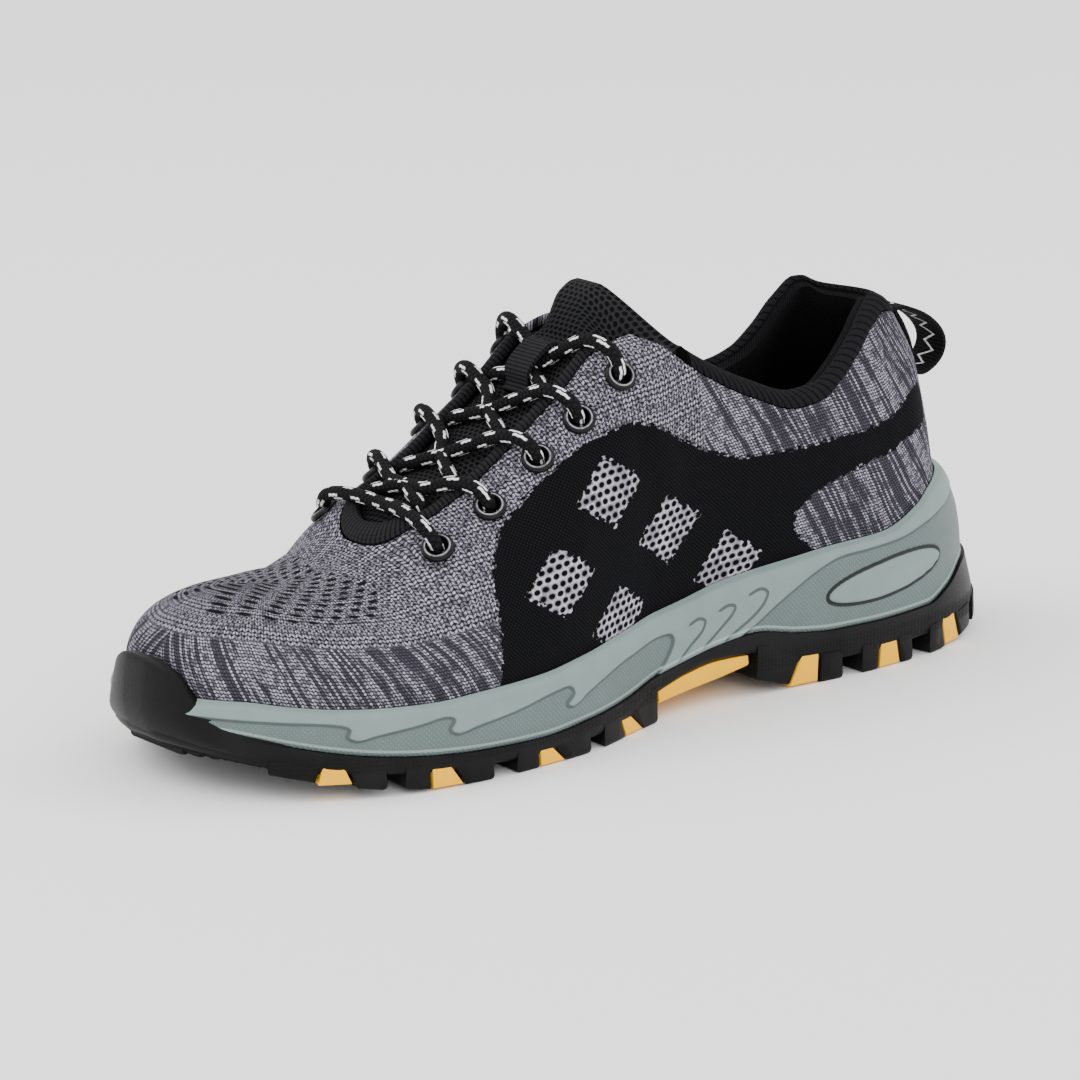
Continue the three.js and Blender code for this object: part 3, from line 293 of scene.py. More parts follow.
def smooth(x, low, high):
    t = np.clip((np.asarray(x, float) - low) / (high - low), 0, 1)
    return t * t * (3 - 2 * t)


def swing(at):
    return -TOE_SWING * np.maximum(0, (at - TOE_FAN) / (1 - TOE_FAN)) ** 2


def round_end(x):
    return np.sqrt(np.maximum(0, 1 - (1 - np.minimum(x, 1)) ** 2))


def half_width(at, side):
    body = np.where(side > 0, outer_side(at), inner_side(at)) * BALL_WIDTH / 2
    return body * round_end(at / HEEL_ROUND) * round_end((1 - at) / (1 - TOE_FAN))


def spine_share(at):
    def fan(x):
        x = np.clip(x, 0, 1)
        return 0.25 * np.arccos(1 - x) / (np.pi / 2) + 0.75 * x * x
    heel = HEEL_POLE + (HEEL_FAN - HEEL_POLE) * fan(at / HEEL_FAN)
    toe = TOE_POLE - (TOE_POLE - TOE_FAN) * fan((1 - at) / (1 - TOE_FAN))
    return np.where(at < HEEL_FAN, heel, np.where(at > TOE_FAN, toe, at))


class Stations:
    """Sections of the shoe, each from a place on the outline in to the spine."""

    def __init__(self, at, side):
        at, side = np.broadcast_arrays(np.asarray(at, float), np.asarray(side, float))
        self.at, self.side = at, side
        edge = np.stack([swing(at) + side * half_width(at, side), LENGTH * (0.5 - at)], -1)
        share = spine_share(at)
        self.spine = np.stack([swing(share), LENGTH * (0.5 - share)], -1)
        out = edge - self.spine
        self.run = np.linalg.norm(out, axis=-1)
        self.out = out / self.run[..., None]
        self.lean = 1 - smooth(at, 0, HEEL_FAN)
        self.rim, self.ridge = level("rim", at), ridge_share(at) * INSTEP_HEIGHT
        self.square = square_of(at)
        hollow = half_width(at, 1) - half_width(at, -1)
        self.bulge = np.where(side < 0, ARCH_BULGE * np.maximum(0, hollow), 0)

    def place(self, across, z):
        across, z = np.broadcast_arrays(across, z)
        lean = lean_share(z / INSTEP_HEIGHT) * HEEL_LEAN * self.lean
        x = self.spine[..., 0] + self.out[..., 0] * across
        y = self.spine[..., 1] + self.out[..., 1] * across - lean
        return np.stack([x, y, z + 0 * x], -1)

    def inset(self, depth, z):
        return self.place(self.run - depth, z)

    def layer(self, depth, name, lift=0.0):
        y = self.spine[..., 1] + self.out[..., 1] * (self.run - depth)
        return self.inset(depth, level(name, 0.5 - y / LENGTH) + lift)

    def shares(self, angle):
        c, s = np.maximum(np.cos(angle), 0), np.maximum(np.sin(angle), 0)
        size = (c ** self.square + s ** self.square) ** (1 / self.square)
        return c / size, s / size

    def reach(self, angle, depth=0.0):
        c, s = self.shares(angle)
        return (self.run - FEATHER - depth + self.bulge * smooth(s, 0, 0.7)) * c

    def last(self, angle, depth=0.0):
        _, s = self.shares(angle)
        return self.place(self.reach(angle, depth), self.rim + (self.ridge - self.rim - depth) * s)

    def angle_up(self, z, depth=0.0):
        up = np.clip((z - self.rim) / (self.ridge - self.rim - depth), 0, 1)
        return np.arctan2(up, (1 - up ** self.square) ** (1 / self.square))

    def angle_across(self, distance):
        low = np.full(self.at.shape, 0.02)
        high = np.full(self.at.shape, np.pi / 2)
        for _ in range(26):
            middle = (low + high) / 2
            wide = self.reach(middle) > distance
            low, high = np.where(wide, middle, low), np.where(wide, high, middle)
        return (low + high) / 2

    def collar(self):
        share = np.where(self.side > 0, outer_collar(self.at), inner_collar(self.at))
        return share * INSTEP_HEIGHT

    def edge_angle(self):
        x = np.clip((self.at - THROAT_TURN) / (THROAT_FRONT - THROAT_TURN), 0, 1)
        throat = THROAT_WIDTH / 2 * np.sqrt(1 - x * x)
        open_throat = self.angle_across(throat)
        top = np.where(self.at < THROAT_FRONT, open_throat, np.pi / 2)
        return np.where(self.at < THROAT_REAR, self.angle_up(self.collar()), top)


CLEARANCE = 0.3
SLOT_MARGIN = 0.9
LACE_RADIUS = 2.0
TREAD_EDGE = 1.2
INNER_ROW = 12.0


def mix(a, b, t):
    return a + (b - a) * t


def unit(v):
    """Vectors brought to a length of 1"""
    return v / np.linalg.norm(v, axis=-1, keepdims=True)


def beside(step):
    """The way to the right of each step along a flat line"""
    return unit(np.stack([step[:, 1], -step[:, 0]], -1))


def fine_places(low, high, count, extra=()):
    """Places along one side, closer together in the round ends"""
    ends = np.linspace(0, 1, count // 4)
    heel = HEEL_ROUND * (1 - np.cos(ends * np.pi / 2))
    toe = TOE_FAN + (1 - TOE_FAN) * np.sin(ends * np.pi / 2)
    middle = np.linspace(HEEL_ROUND, TOE_FAN, count - 2 * len(ends) + 2)
    wanted = np.concatenate([heel, middle, toe, [low, high], extra])
    wanted = np.unique(wanted[(wanted >= low) & (wanted <= high)])
    keep = np.concatenate([[True], np.diff(wanted) > 0.0004])
    return wanted[keep]


def both_sides(places):
    """Stations along the outer side and back along the inner one"""
    at = np.concatenate([places, places[-2::-1]])
    side = np.concatenate([np.ones(len(places)), -np.ones(len(places) - 1)])
    return Stations(at, side)


def around(count, extra=()):
    """Stations all around the shoe, ending where they started"""
    return both_sides(fine_places(0, 1, count, extra))


def around_end(limit, count):
    """Stations around the heel or the toe only, from the outer side to the inner one"""
    if limit < 0.5:
        return both_sides(fine_places(0, limit, count)[::-1])
    return both_sides(fine_places(limit, 1, count))


def over_upper(at, x, lift=0.0):
    """A point over the upper beside the spine, and the way that its face looks"""
    at, x, lift = np.broadcast_arrays(*(np.asarray(v, float) for v in (at, x, lift)))
    side = np.where(x < 0, -1.0, 1.0)

    def near(share, across):
        st = Stations(share, side)
        return st.last(st.angle_across(across))

    across = np.maximum(np.abs(x), 0.5)
    along = near(at + 0.002, across) - near(at - 0.002, across)
    over = near(at, across + 0.4) - near(at, across - 0.4)
    normal = np.cross(along, over)
    normal *= np.where(normal[..., 2] < 0, -1, 1)[..., None]
    normal[..., 0] *= np.clip(np.abs(x) / 0.5, 0, 1)
    normal = unit(normal)
    return near(at, np.abs(x)) + normal * lift[..., None], normal


def flow(points, count, power=0.5):
    """Resamples rows of points along a smooth curve through them"""
    points = np.asarray(points, float)
    gap = np.linalg.norm(np.diff(points, axis=0), axis=-1).reshape(len(points) - 1, -1).mean(1)
    gap = np.maximum(gap, 1e-6) ** power
    knot = np.concatenate([[0], np.cumsum(gap)])
    spread = gap.reshape(-1, *[1] * (points.ndim - 1))
    rise = np.diff(points, axis=0) / spread
    slope = np.empty_like(points)
    slope[0], slope[-1] = rise[0], rise[-1]
    slope[1:-1] = (rise[:-1] * spread[1:] + rise[1:] * spread[:-1]) / (spread[1:] + spread[:-1])
    t = np.linspace(0, knot[-1], count)
    i = np.clip(np.searchsorted(knot, t, side="right") - 1, 0, len(gap) - 1)
    s = ((t - knot[i]) / gap[i]).reshape(-1, *[1] * (points.ndim - 1))
    step = spread[i]
    return (points[i] * (1 + 2 * s) * (1 - s) ** 2 + points[i + 1] * s * s * (3 - 2 * s)
            + step * (slope[i] * s * (1 - s) ** 2 - slope[i + 1] * s * s * (1 - s)))


def lengths(points, axis=0):
    """Distance run along one axis of a grid of points"""
    step = np.linalg.norm(np.diff(points, axis=axis), axis=-1)
    first = np.zeros_like(np.take(step, [0], axis))
    return np.concatenate([first, np.cumsum(step, axis)], axis)


def run_from_heel(row, st):
    """Distance from the heel along a row of points, on both sides, the same at the toe"""
    run = lengths(row)
    toe = int(np.argmax(st.at))
    back = (run[-1] - run) * run[toe] / (run[-1] - run[toe])
    return np.where(np.arange(len(run)) <= toe, run, back)


def cloth_map(rings, row):
    """Flat map of a strip: distance along one of its rows, and around each ring"""
    run, girth = lengths(rings)[:, row:row + 1], lengths(rings, 1)
    return np.stack(np.broadcast_arrays(run, girth), -1)


def edge_distance(points, polygon):
    """Distance to the edge of a closed outline, positive inside it"""
    a, b = polygon, np.roll(polygon, -1, 0)
    shape = points.shape[:-1]
    p = points.reshape(-1, 1, 2)
    run = b - a
    t = np.clip(((p - a) * run).sum(-1) / (run ** 2).sum(-1), 0, 1)
    near = np.linalg.norm(p - a - run * t[..., None], axis=-1).min(1)
    above = (a[:, 1] > p[..., 1]) != (b[:, 1] > p[..., 1])
    level_run = np.where(run[:, 1] == 0, 1e-9, run[:, 1])
    crossing = p[..., 0] < a[:, 0] + (p[..., 1] - a[:, 1]) * run[:, 0] / level_run
    inside = (above & crossing).sum(1) % 2 == 1
    return np.where(inside, near, -near).reshape(shape)


def line_distance(points, line, sign):
    """Signed distance to an open line, and how far a point lies beyond its ends"""
    a, b = line[:-1], line[1:]
    shape = points.shape[:-1]
    p = points.reshape(-1, 1, 2)
    run = b - a
    share = ((p - a) * run).sum(-1) / (run ** 2).sum(-1)
    off = p - a - run * np.clip(share, 0, 1)[..., None]
    distance = np.linalg.norm(off, axis=-1)
    best = distance.argmin(1)
    rows = np.arange(len(best))
    turn = run[:, 0] * (p[..., 1] - a[:, 1]) - run[:, 1] * (p[..., 0] - a[:, 0])
    side = np.where(turn[rows, best] >= 0, 1.0, -1.0) * sign
    size = np.linalg.norm(run, axis=-1)
    before = np.maximum(0, -share[:, 0]) * size[0] * (best == 0)
    after = np.maximum(0, share[:, -1] - 1) * size[-1] * (best == len(a) - 1)
    return (side * distance[rows, best]).reshape(shape), (before + after).reshape(shape)


class Form:
    """Points, faces and flat maps of one piece, in millimetres"""

    def __init__(self, *maps):
        self.points, self.faces = [], []
        self.maps = {name: [] for name in maps}
        self.count = 0

    def add(self, points, faces, **maps):
        points = np.asarray(points, float).reshape(-1, 3)
        self.faces += [tuple(int(v) + self.count for v in face) for face in faces]
        self.points.append(points)
        for name, rows in self.maps.items():
            flat = maps.get(name, np.zeros((len(points), 2)))
            rows.append(np.asarray(flat, float).reshape(-1, 2))
        self.count += len(points)
        return self

    def grid(self, points, skip=None, **maps):
        """A sheet of four-sided faces over a grid of points; skip marks points without faces"""
        rows, cols = points.shape[:2]
        r, c = np.meshgrid(np.arange(rows - 1), np.arange(cols - 1), indexing="ij")
        first = r * cols + c
        quads = np.stack([first, first + 1, first + cols + 1, first + cols], -1).reshape(-1, 4)
        if skip is not None:
            quads = quads[~skip.reshape(-1)[quads].any(1)]
        return self.add(points, quads, **maps)

    def lid(self, ring, **maps):
        """Closes the open end of a grid"""
        return self.add(ring, [tuple(range(len(ring)))], **maps)

    def strip(self, rings, **maps):
        """Rings joined one after another, with a lid at each end"""
        return self.grid(rings, **maps).lid(rings[0, :-1]).lid(rings[-1, :-1])

    def build(self, name, finish, slot, replaced=(), smooth=180, weld=0.02):
        points = np.concatenate(self.points) * MM
        mesh = bpy.data.meshes.new(name)
        mesh.from_pydata(points.tolist(), [], self.faces)
        corners = np.empty(len(mesh.loops), np.int32)
        mesh.loops.foreach_get("vertex_index", corners)
        for title, rows in self.maps.items():
            values = np.concatenate(rows)[corners].astype(np.float32)
            mesh.uv_layers.new(name=title).data.foreach_set("uv", values.ravel())
        shape = bmesh.new()
        shape.from_mesh(mesh)
        bmesh.ops.remove_doubles(shape, verts=shape.verts, dist=weld * MM)
        bmesh.ops.dissolve_degenerate(shape, edges=shape.edges, dist=1e-7)
        bmesh.ops.recalc_face_normals(shape, faces=shape.faces)
        limit = math.radians(smooth)
        for face in shape.faces:
            face.smooth = True
        for edge in shape.edges:
            edge.smooth = len(edge.link_faces) != 2 or edge.calc_face_angle(0) < limit
        shape.to_mesh(mesh)
        shape.free()
        mesh.materials.append(finish)
        piece = bpy.data.objects.new(name, mesh)
        bpy.context.scene.collection.objects.link(piece)
        place_piece(piece, replaced)
        return piece


def place_piece(piece, replaced):
    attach(piece, "root")
    if replaced:
        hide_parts(*replaced)


def nodes_named(start):
    return [name for name in NODES if name.startswith(start)]


# The knitted upper

BLACK_ZONE = ((212, -8), (199, 40), (152, 56), (112, 34), (18, 28), (18, 19), (60, 22), (92, 11),
              (80, -8))
HOLED_VAMP = ((230, 44), (238, 27), (300, 24), (300, 80), (250, 72))
EYELET_PLACES = [(at, side * EYELET_SPACING / 2) for side in (1, -1) for at in EYELETS]
EYELET_HOLE, EYELET_REACH = 2.1, 9.0
WINDOW_MIDDLE = (139, 22)


def diamonds(u, g, zone, wide=46.0, high=36.0, share=0.275, margin=3.5):
    """Signed distance into the nearest window of a lattice of lozenges well inside a zone"""
    along, up = WINDOW_MIDDLE
    a = (u - along) / wide + (g - up) / high
    b = (u - along) / wide - (g - up) / high
    one, two = np.round(a), np.round(b)
    off = np.maximum(np.abs(a - one), np.abs(b - two))
    middle = np.stack([along + wide * (one + two) / 2, up + high * (one - two) / 2], -1)
    half_wide, half_high = share * wide, share * high
    tips = ((0, 0), (half_wide, 0), (-half_wide, 0), (0, half_high), (0, -half_high))
    corners = [middle + tip for tip in tips]
    whole = np.minimum.reduce([edge_distance(corner, zone) for corner in corners]) > margin
    return np.where(whole, (share - off) / math.hypot(1 / wide, 1 / high), -9.0)


# Soft folds of the empty upper: both ends, width and depth
FOLDS = (
    ((139, 60), (134, 46), 3.0, 0.5),
    ((223, 16), (216, 38), 5.0, 0.6),
    ((231, 22), (237, 44), 5.0, 0.4),
    ((58, 28), (76, 46), 5.0, 0.35),
)


def folds(u, g):
    """Depth of the folds, each a trough between two low ridges"""
    spot = np.stack([u, g], -1)
    depth = np.zeros(u.shape)
    for start, end, wide, deep in FOLDS:
        a, run = np.array(start, float), np.subtract(end, start)
        share = np.clip((spot - a) @ run / (run @ run), 0, 1)
        off = np.linalg.norm(spot - a - share[..., None] * run, axis=-1) / wide
        depth += deep * (np.exp(-off ** 2) - 0.35 * np.exp(-(off - 1.8) ** 2))
    return depth


def upper_rows(st):
    edge = st.edge_angle()
    base = np.minimum(0.8 * edge, mix(0.6, 0.9, smooth(st.at, 0.55, 0.75)))
    low = np.linspace(0, 1, 35)[:, None]
    high = np.linspace(0, 1, 25)[1:, None]
    return np.concatenate([base * low, base + (edge - base) * high])


def build_upper(finish):
    st = around(330, (THROAT_REAR - 0.004, THROAT_REAR, THROAT_TURN, 0.740, 0.750, 0.7535,
                      THROAT_FRONT))
    angle = upper_rows(st)
    outer = np.concatenate([st.inset(FEATHER, st.rim - 3)[None], st.last(angle)])
    girth = lengths(outer)
    girth = girth - girth[1]
    u = np.broadcast_to(st.at * LENGTH, girth.shape)
    depth = folds(u, girth)[1:]
    outer[1:] = st.last(angle, depth)
    few = angle[::4]
    inner = np.concatenate([st.layer(FEATHER + UPPER_WALL, "bed", CLEARANCE)[None],
                            st.last(few, UPPER_WALL + depth[::4])])
    along = run_from_heel(outer[9], st)
    spot = np.stack([u, girth], -1)
    zone = flow(BLACK_ZONE + BLACK_ZONE[:1], 60)[:-1]
    black = edge_distance(spot, zone)
    vamp = edge_distance(spot, np.array(HOLED_VAMP, float))
    streak = np.maximum(17 - girth, 124 - u)
    maps = {
        "band": np.stack([np.broadcast_to(along, girth.shape), girth], -1),
        "plan": outer[..., :2],
        "mark": np.stack([black, diamonds(u, girth, zone)], -1),
        "zone": np.stack([vamp, streak], -1),
    }
    gone, gone_inside = np.zeros(outer.shape[:2], bool), np.zeros(inner.shape[:2], bool)
    for at, x in EYELET_PLACES:
        centre, normal = over_upper(at, x)
        for sheet, lost in ((outer, gone), (inner, gone_inside)):
            off = sheet - centre
            radial = off - (off @ normal)[..., None] * normal
            far = np.linalg.norm(radial, axis=-1)
            near = np.linalg.norm(off, axis=-1) < EYELET_REACH
            lost |= near & (far < EYELET_HOLE)
            pull = near & (far >= EYELET_HOLE) & (far < BARREL)
            sheet[pull] += (radial / np.maximum(far, 0.1)[..., None]
                            * (BARREL - far)[..., None])[pull]
    form = Form("band", "plan", "mark", "zone")
    form.grid(outer, skip=gone, **maps)
    pick = np.concatenate([[0], 1 + np.arange(0, len(angle), 4)])
    lining = {name: rows[pick] for name, rows in maps.items()}
    lining["mark"] = np.broadcast_to([30.0, -30.0], lining["mark"].shape)
    form.grid(inner, skip=gone_inside, **lining)
    lip = mix(outer[-1], inner[-1], 0.5) + np.array([0, 0, 0.25])
    closed = np.broadcast_to(st.at > THROAT_FRONT + 1e-6, (3, len(st.at)))
    top = {name: np.repeat(rows[-1:], 3, 0) for name, rows in maps.items()}
    form.grid(np.stack([outer[-1], lip, inner[-1]]), skip=closed, **top)
    form.grid(np.stack([outer[0], inner[0]]), **{name: rows[:2] for name, rows in maps.items()})
    return form.build("knit_upper", finish, "upper_knit", ["upper"])


# The sole

FORWARD_FIELD = (
    (302, 22), (292, 22.6), (283, 22.3), (274, 21.8), (262, 20.8), (258.5, 19.6), (259, 17.4),
    (256.6, 16.0), (251, 17.0), (239, 18.7), (231.5, 19.8), (229, 18.9), (230.4, 16.4),
    (228, 14.6), (221, 15.6), (207, 17.6), (194, 20.1), (188, 20.4), (186.6, 18.7),
    (189.4, 16.0), (187.1, 14.5), (180, 17.3), (168.3, 20.9), (155.6, 23.3), (146.7, 24.4),
    (141.6, 24.2), (140.3, 22.4), (143.4, 16.7), (147.2, 12.0), (150, 2), (220, -6), (302, -6),
)
HEEL_FIELD = (
    (116, 15.6), (112, 18.3), (107.5, 20.8), (101.2, 25), (93, 29.6), (85.8, 33.2), (78, 35.6),
    (66, 36.4), (52, 37.4), (40, 39.6), (26, 42.6), (12, 44.8), (-8, 46), (-8, -4), (60, -4),
    (118, 2), (117, 12),
)
ARCH_LINES = (
    ((133.7, 26.0), (130.3, 26.9), (127.8, 25.8), (128.7, 23.2), (133.3, 19.7), (137.2, 16.1)),
    ((121.9, 27.8), (118.6, 28.7), (116.2, 27.9), (117.1, 26.0), (121.4, 22.5), (127.2, 18.1)),
    ((110.7, 30.6), (106.8, 31.6), (104.4, 30.2), (105.6, 27.2), (109.3, 23.9), (113.8, 21.2),
     (118.7, 18.4)),
)

OVAL_AT, OVAL_LEVEL, OVAL_DROP = 56.8, 27.0, 2.35
OVAL_HALF_LENGTH, OVAL_HALF_HEIGHT = 24.9, 5.6


def midsole_marks(u, z):
    """Distances into the sunk fields, to the hooked lines and into the oval"""
    spot = np.stack([u, z], -1)
    fields = [flow(np.array(line, float), 150) for line in (FORWARD_FIELD, HEEL_FIELD)]
    field = np.maximum(*(edge_distance(spot, line) for line in fields))
    lines = [line_distance(spot, flow(np.array(line), 40), (-1) ** i)
             for i, line in enumerate(ARCH_LINES)]
    distance, beyond = lines[0]
    for other, past in lines[1:]:
        nearer = np.abs(other) < np.abs(distance)
        distance, beyond = np.where(nearer, other, distance), np.where(nearer, past, beyond)
    run = (u - OVAL_AT) / OVAL_HALF_LENGTH
    rise = (z - OVAL_LEVEL + OVAL_DROP * run) / OVAL_HALF_HEIGHT
    grown = np.hypot(run, rise)
    slope = np.hypot(run / OVAL_HALF_LENGTH, rise / OVAL_HALF_HEIGHT)
    oval = -grown * (grown - 1) / np.maximum(slope, 1e-4)
    return field, distance, beyond, oval


def build_midsole(finish):
    st = around(720)
    wave = wave_share(st.at) * CUP_HEIGHT
    seam = level("seam", st.at)
    share = np.linspace(0, 1, 42)[:, None]
    z = mix(seam, st.rim - 0.6, share)
    knots = np.stack([seam, mix(seam, wave, 0.35), wave, mix(wave, st.rim, 0.7), st.rim - 0.5])
    insets = SIDE_TAPER * np.array([0.45, 0.2, 0.1, 0.6, 1.1])
    depth = np.stack([np.interp(z[:, i], knots[:, i], insets) for i in range(len(st.at))], 1)
    depth[1:-1] = (depth[:-2] + 2 * depth[1:-1] + depth[2:]) / 4
    u = np.broadcast_to(st.at * LENGTH, z.shape)
    field, line, beyond, oval = midsole_marks(u, z)
    depth = depth + FIELD_DEPTH * smooth(field, -0.4, 0.5)
    depth = depth + 0.45 * (1 - smooth(np.abs(field), 0.2, 0.9))
    depth = depth + 0.5 * (1 - smooth(np.abs(oval), 0.2, 0.8))
    depth = depth - 0.5 * smooth(oval, 0, 1.2)
    side = st.inset(depth, z)
    lip = np.array([(1.25, 0.30), (1.5, 0.06), (1.75, 0), (1.95, 0.1), (2.0, 0.4)])
    top = [st.inset(mix(SIDE_TAPER * 1.1, SIDE_TAPER + LIP_WALL, x / 2), st.rim - drop)
           for x, drop in lip]
    rows = np.concatenate([
        [st.layer(st.run, "seam"), st.layer(INNER_ROW, "seam"), st.layer(depth[0] + 0.8, "seam")],
        side, top,
        [st.layer(SIDE_TAPER + LIP_WALL, "bed"), st.layer(INNER_ROW, "bed"),
         st.layer(st.run, "bed")],
    ])
    pad_low, pad_high = 3, len(top) + 3

    def padded_map(a, b):
        pair = np.stack([a, b], -1)
        first, last = np.repeat(pair[:1], pad_low, 0), np.repeat(pair[-1:], pad_high, 0)
        return np.concatenate([first, pair, last])

    along = np.broadcast_to(run_from_heel(side[20], st), z.shape)
    form = Form("side", "mark", "line", "edge")
    form.grid(rows, side=padded_map(along, z), mark=padded_map(field, oval),
              line=padded_map(line, beyond), edge=padded_map(z - seam, st.rim - z))
    return form.build("foam_midsole", finish, "midsole_foam", ["midsole"])


def block_rings(corners):
    """Rings of a tread block: its root in the slab, its shoulder and its foot"""
    at, spots = corners
    inward = unit(spots.mean(0) - spots)

    def ring(depth, z):
        return np.concatenate([spots + inward * depth, z[:, None]], -1)

    tread = level("tread", at)
    return [ring(0.4, level("root", at) + 2.4), ring(0.0, tread + TREAD_EDGE),
            ring(TREAD_EDGE * 0.3, tread + 0.35), ring(TREAD_EDGE, tread)]


def foot_at(at, side, share, depth=0.0):
    st = Stations(at, side)
    spot = st.place(st.run * share - depth, 0.0)[..., :2]
    return 0.5 - spot[..., 1] / LENGTH, spot


def footprint(rows):
    at, spots = zip(*(foot_at(*row) for row in rows))
    return np.array(at, float), np.array(spots, float)


def side_lug(lug, side):
    toe, heel = lug[0], lug[1]
    edge = [(mix(heel, toe, t), side, 1.0, 0.2) for t in np.linspace(0, 1, 9)]
    back = [(mix(heel, toe, 0.82) + 0.012, side, 0.42), (mix(heel, toe, 0.30), side, 0.42)]
    return footprint(edge + back)


def centre_pad(toe, heel):
    middle = mix(heel, toe, 0.5)
    return footprint([(heel, 1, 0.14), (middle, 1, 0.28), (toe, 1, 0.14),
                      (toe, -1, 0.14), (middle, -1, 0.28), (heel, -1, 0.14)])


def toe_rib(at):
    share = np.array([at, at + 0.006, at + 0.006, at])
    side = np.array([1.0, 1.0, -1.0, -1.0])
    x = swing(share) + side * half_width(at, side) * 0.5
    return share, np.stack([x, LENGTH * (0.5 - share)], -1)


HEEL_BLOCK_END = 0.042


def heel_block():
    st = around_end(HEEL_BLOCK_END, 60)
    at, spots = foot_at(st.at, st.side, 1.0)
    low, extra = footprint([(HEEL_BLOCK_END, -1, 0.55), (HEEL_BLOCK_END, 1, 0.55)])
    return np.concatenate([at, low]), np.concatenate([spots, extra])


def insert_rings(lug, side, margin):
    """An insert in the side of a lug, grown by a margin for the slot that holds it"""
    _, _, low_toe, low_heel, high_toe, high_heel, top = lug
    shift = margin / LENGTH
    foot = float(level("tread", (low_toe + low_heel) / 2)) + 0.4
    top = top * CUP_HEIGHT
    below = 3.0 if margin else 0.0
    depths = (-3.0, 5.3) if margin else (0.5, 5.0)

    def slope(low, high, z):
        return mix(low, high, (z - foot) / (top - foot))

    spots = [
        (slope(low_toe, high_toe, foot - below) + shift, foot - below),
        (slope(low_toe, high_toe, top + margin) + shift, top + margin),
        (slope(low_heel, high_heel, top + margin) - shift, top + margin),
        (slope(low_heel, high_heel, foot - below) - shift, foot - below),
    ]
    return [np.array([Stations(at, side).inset(depth, z) for at, z in spots]) for depth in depths]


def prism(form, rings):
    form.strip(np.array([np.concatenate([ring, ring[:1]]) for ring in rings]))


def bevelled(piece, width, segments=2, angle=35):
    shape = bmesh.new()
    shape.from_mesh(piece.data)
    limit = math.radians(angle)
    edges = [e for e in shape.edges if len(e.link_faces) == 2 and e.calc_face_angle(0) > limit]
    bmesh.ops.bevel(shape, geom=edges, offset=width * MM, segments=segments,
                    affect="EDGES", profile=0.6, clamp_overlap=True)
    for face in shape.faces:
        face.smooth = True
    for edge in shape.edges:
        edge.smooth = len(edge.link_faces) != 2 or edge.calc_face_angle(0) < math.radians(32)
    shape.to_mesh(piece.data)
    shape.free()


BUMPER_START, BUMPER_FULL = 0.905, 0.985
TOE_RIBS = (0.970, 0.957, 0.944)


def build_outsole(finish):
    st = around(480)
    turn = mix(TREAD_EDGE, 4.5, smooth(st.at, 0.93, 1))
    root, under = level("root", st.at), level("seam", st.at) - 0.05
    rows = [st.layer(st.run, "root"), st.layer(INNER_ROW, "root"), st.layer(turn, "root")]
    for share in np.linspace(0, 1, 9):
        bulge = np.sin(np.pi * np.clip(share, 0, 1)) ** 0.6
        depth = mix(mix(turn, turn * 0.45, share), turn * 0.35, bulge)
        rows.append(st.inset(depth, mix(root, under, share)))
    rows += [st.layer(INNER_ROW, "seam", -0.05), st.layer(st.run, "seam", -0.05)]
    form = Form()
    form.grid(np.array(rows))
    end = around_end(BUMPER_START, 200)
    taper = smooth(end.at, BUMPER_START, BUMPER_FULL)
    foot, top = level("root", end.at) + 1, bumper_share(end.at) * CUP_HEIGHT
    lip = mix(1.4, SIDE_TAPER * 0.9, taper)
    face = np.array([(0, 3.0), (0.1, 1.7), (0.2, 0.8), (0.3, 0.25), (0.4, 0.0), (0.52, 0.1),
                     (0.65, 0.35), (0.8, 0.75), (0.9, 1.1), (0.97, 1.35)])
    rings = [end.inset(SIDE_TAPER + LIP_WALL, foot + 0.5)]
    rings += [end.inset(mix(0.9, inset, taper), mix(foot, top, up)) for up, inset in face]
    rings += [end.inset(lip + 0.1, top), end.inset(SIDE_TAPER + LIP_WALL, top)]
    form.grid(np.array(rings))
    for ring in (0, -1):
        form.lid(np.array([row[ring] for row in rings]))
    pads = [centre_pad(*pad) for pad in CENTRE_PADS.rows]
    for corners in [heel_block(), *pads, *map(toe_rib, TOE_RIBS)]:
        prism(form, block_rings(corners))
    sole = form.build("rubber_outsole", finish, "sole_rubber", ["outsole"], smooth=40)
    lugs, slots = Form(), Form()
    for lug in LUGS.rows:
        for side in (1, -1):
            prism(lugs, block_rings(side_lug(lug, side)))
            prism(slots, insert_rings(lug, side, SLOT_MARGIN))
    lug_piece = lugs.build("tread_lugs", finish, "sole_rubber", smooth=30)
    bevelled(lug_piece, 0.5)
    cutter = slots.build("slot_cutter", finish, "sole_rubber")
    cut = lug_piece.modifiers.new("slots", "BOOLEAN")
    cut.object, cut.operation, cut.solver = cutter, "DIFFERENCE", "EXACT"
    evaluated = lug_piece.evaluated_get(bpy.context.evaluated_depsgraph_get())
    applied = bpy.data.meshes.new_from_object(evaluated)
    lug_piece.modifiers.clear()
    lug_piece.data = applied
    bpy.data.objects.remove(cutter)
    return sole


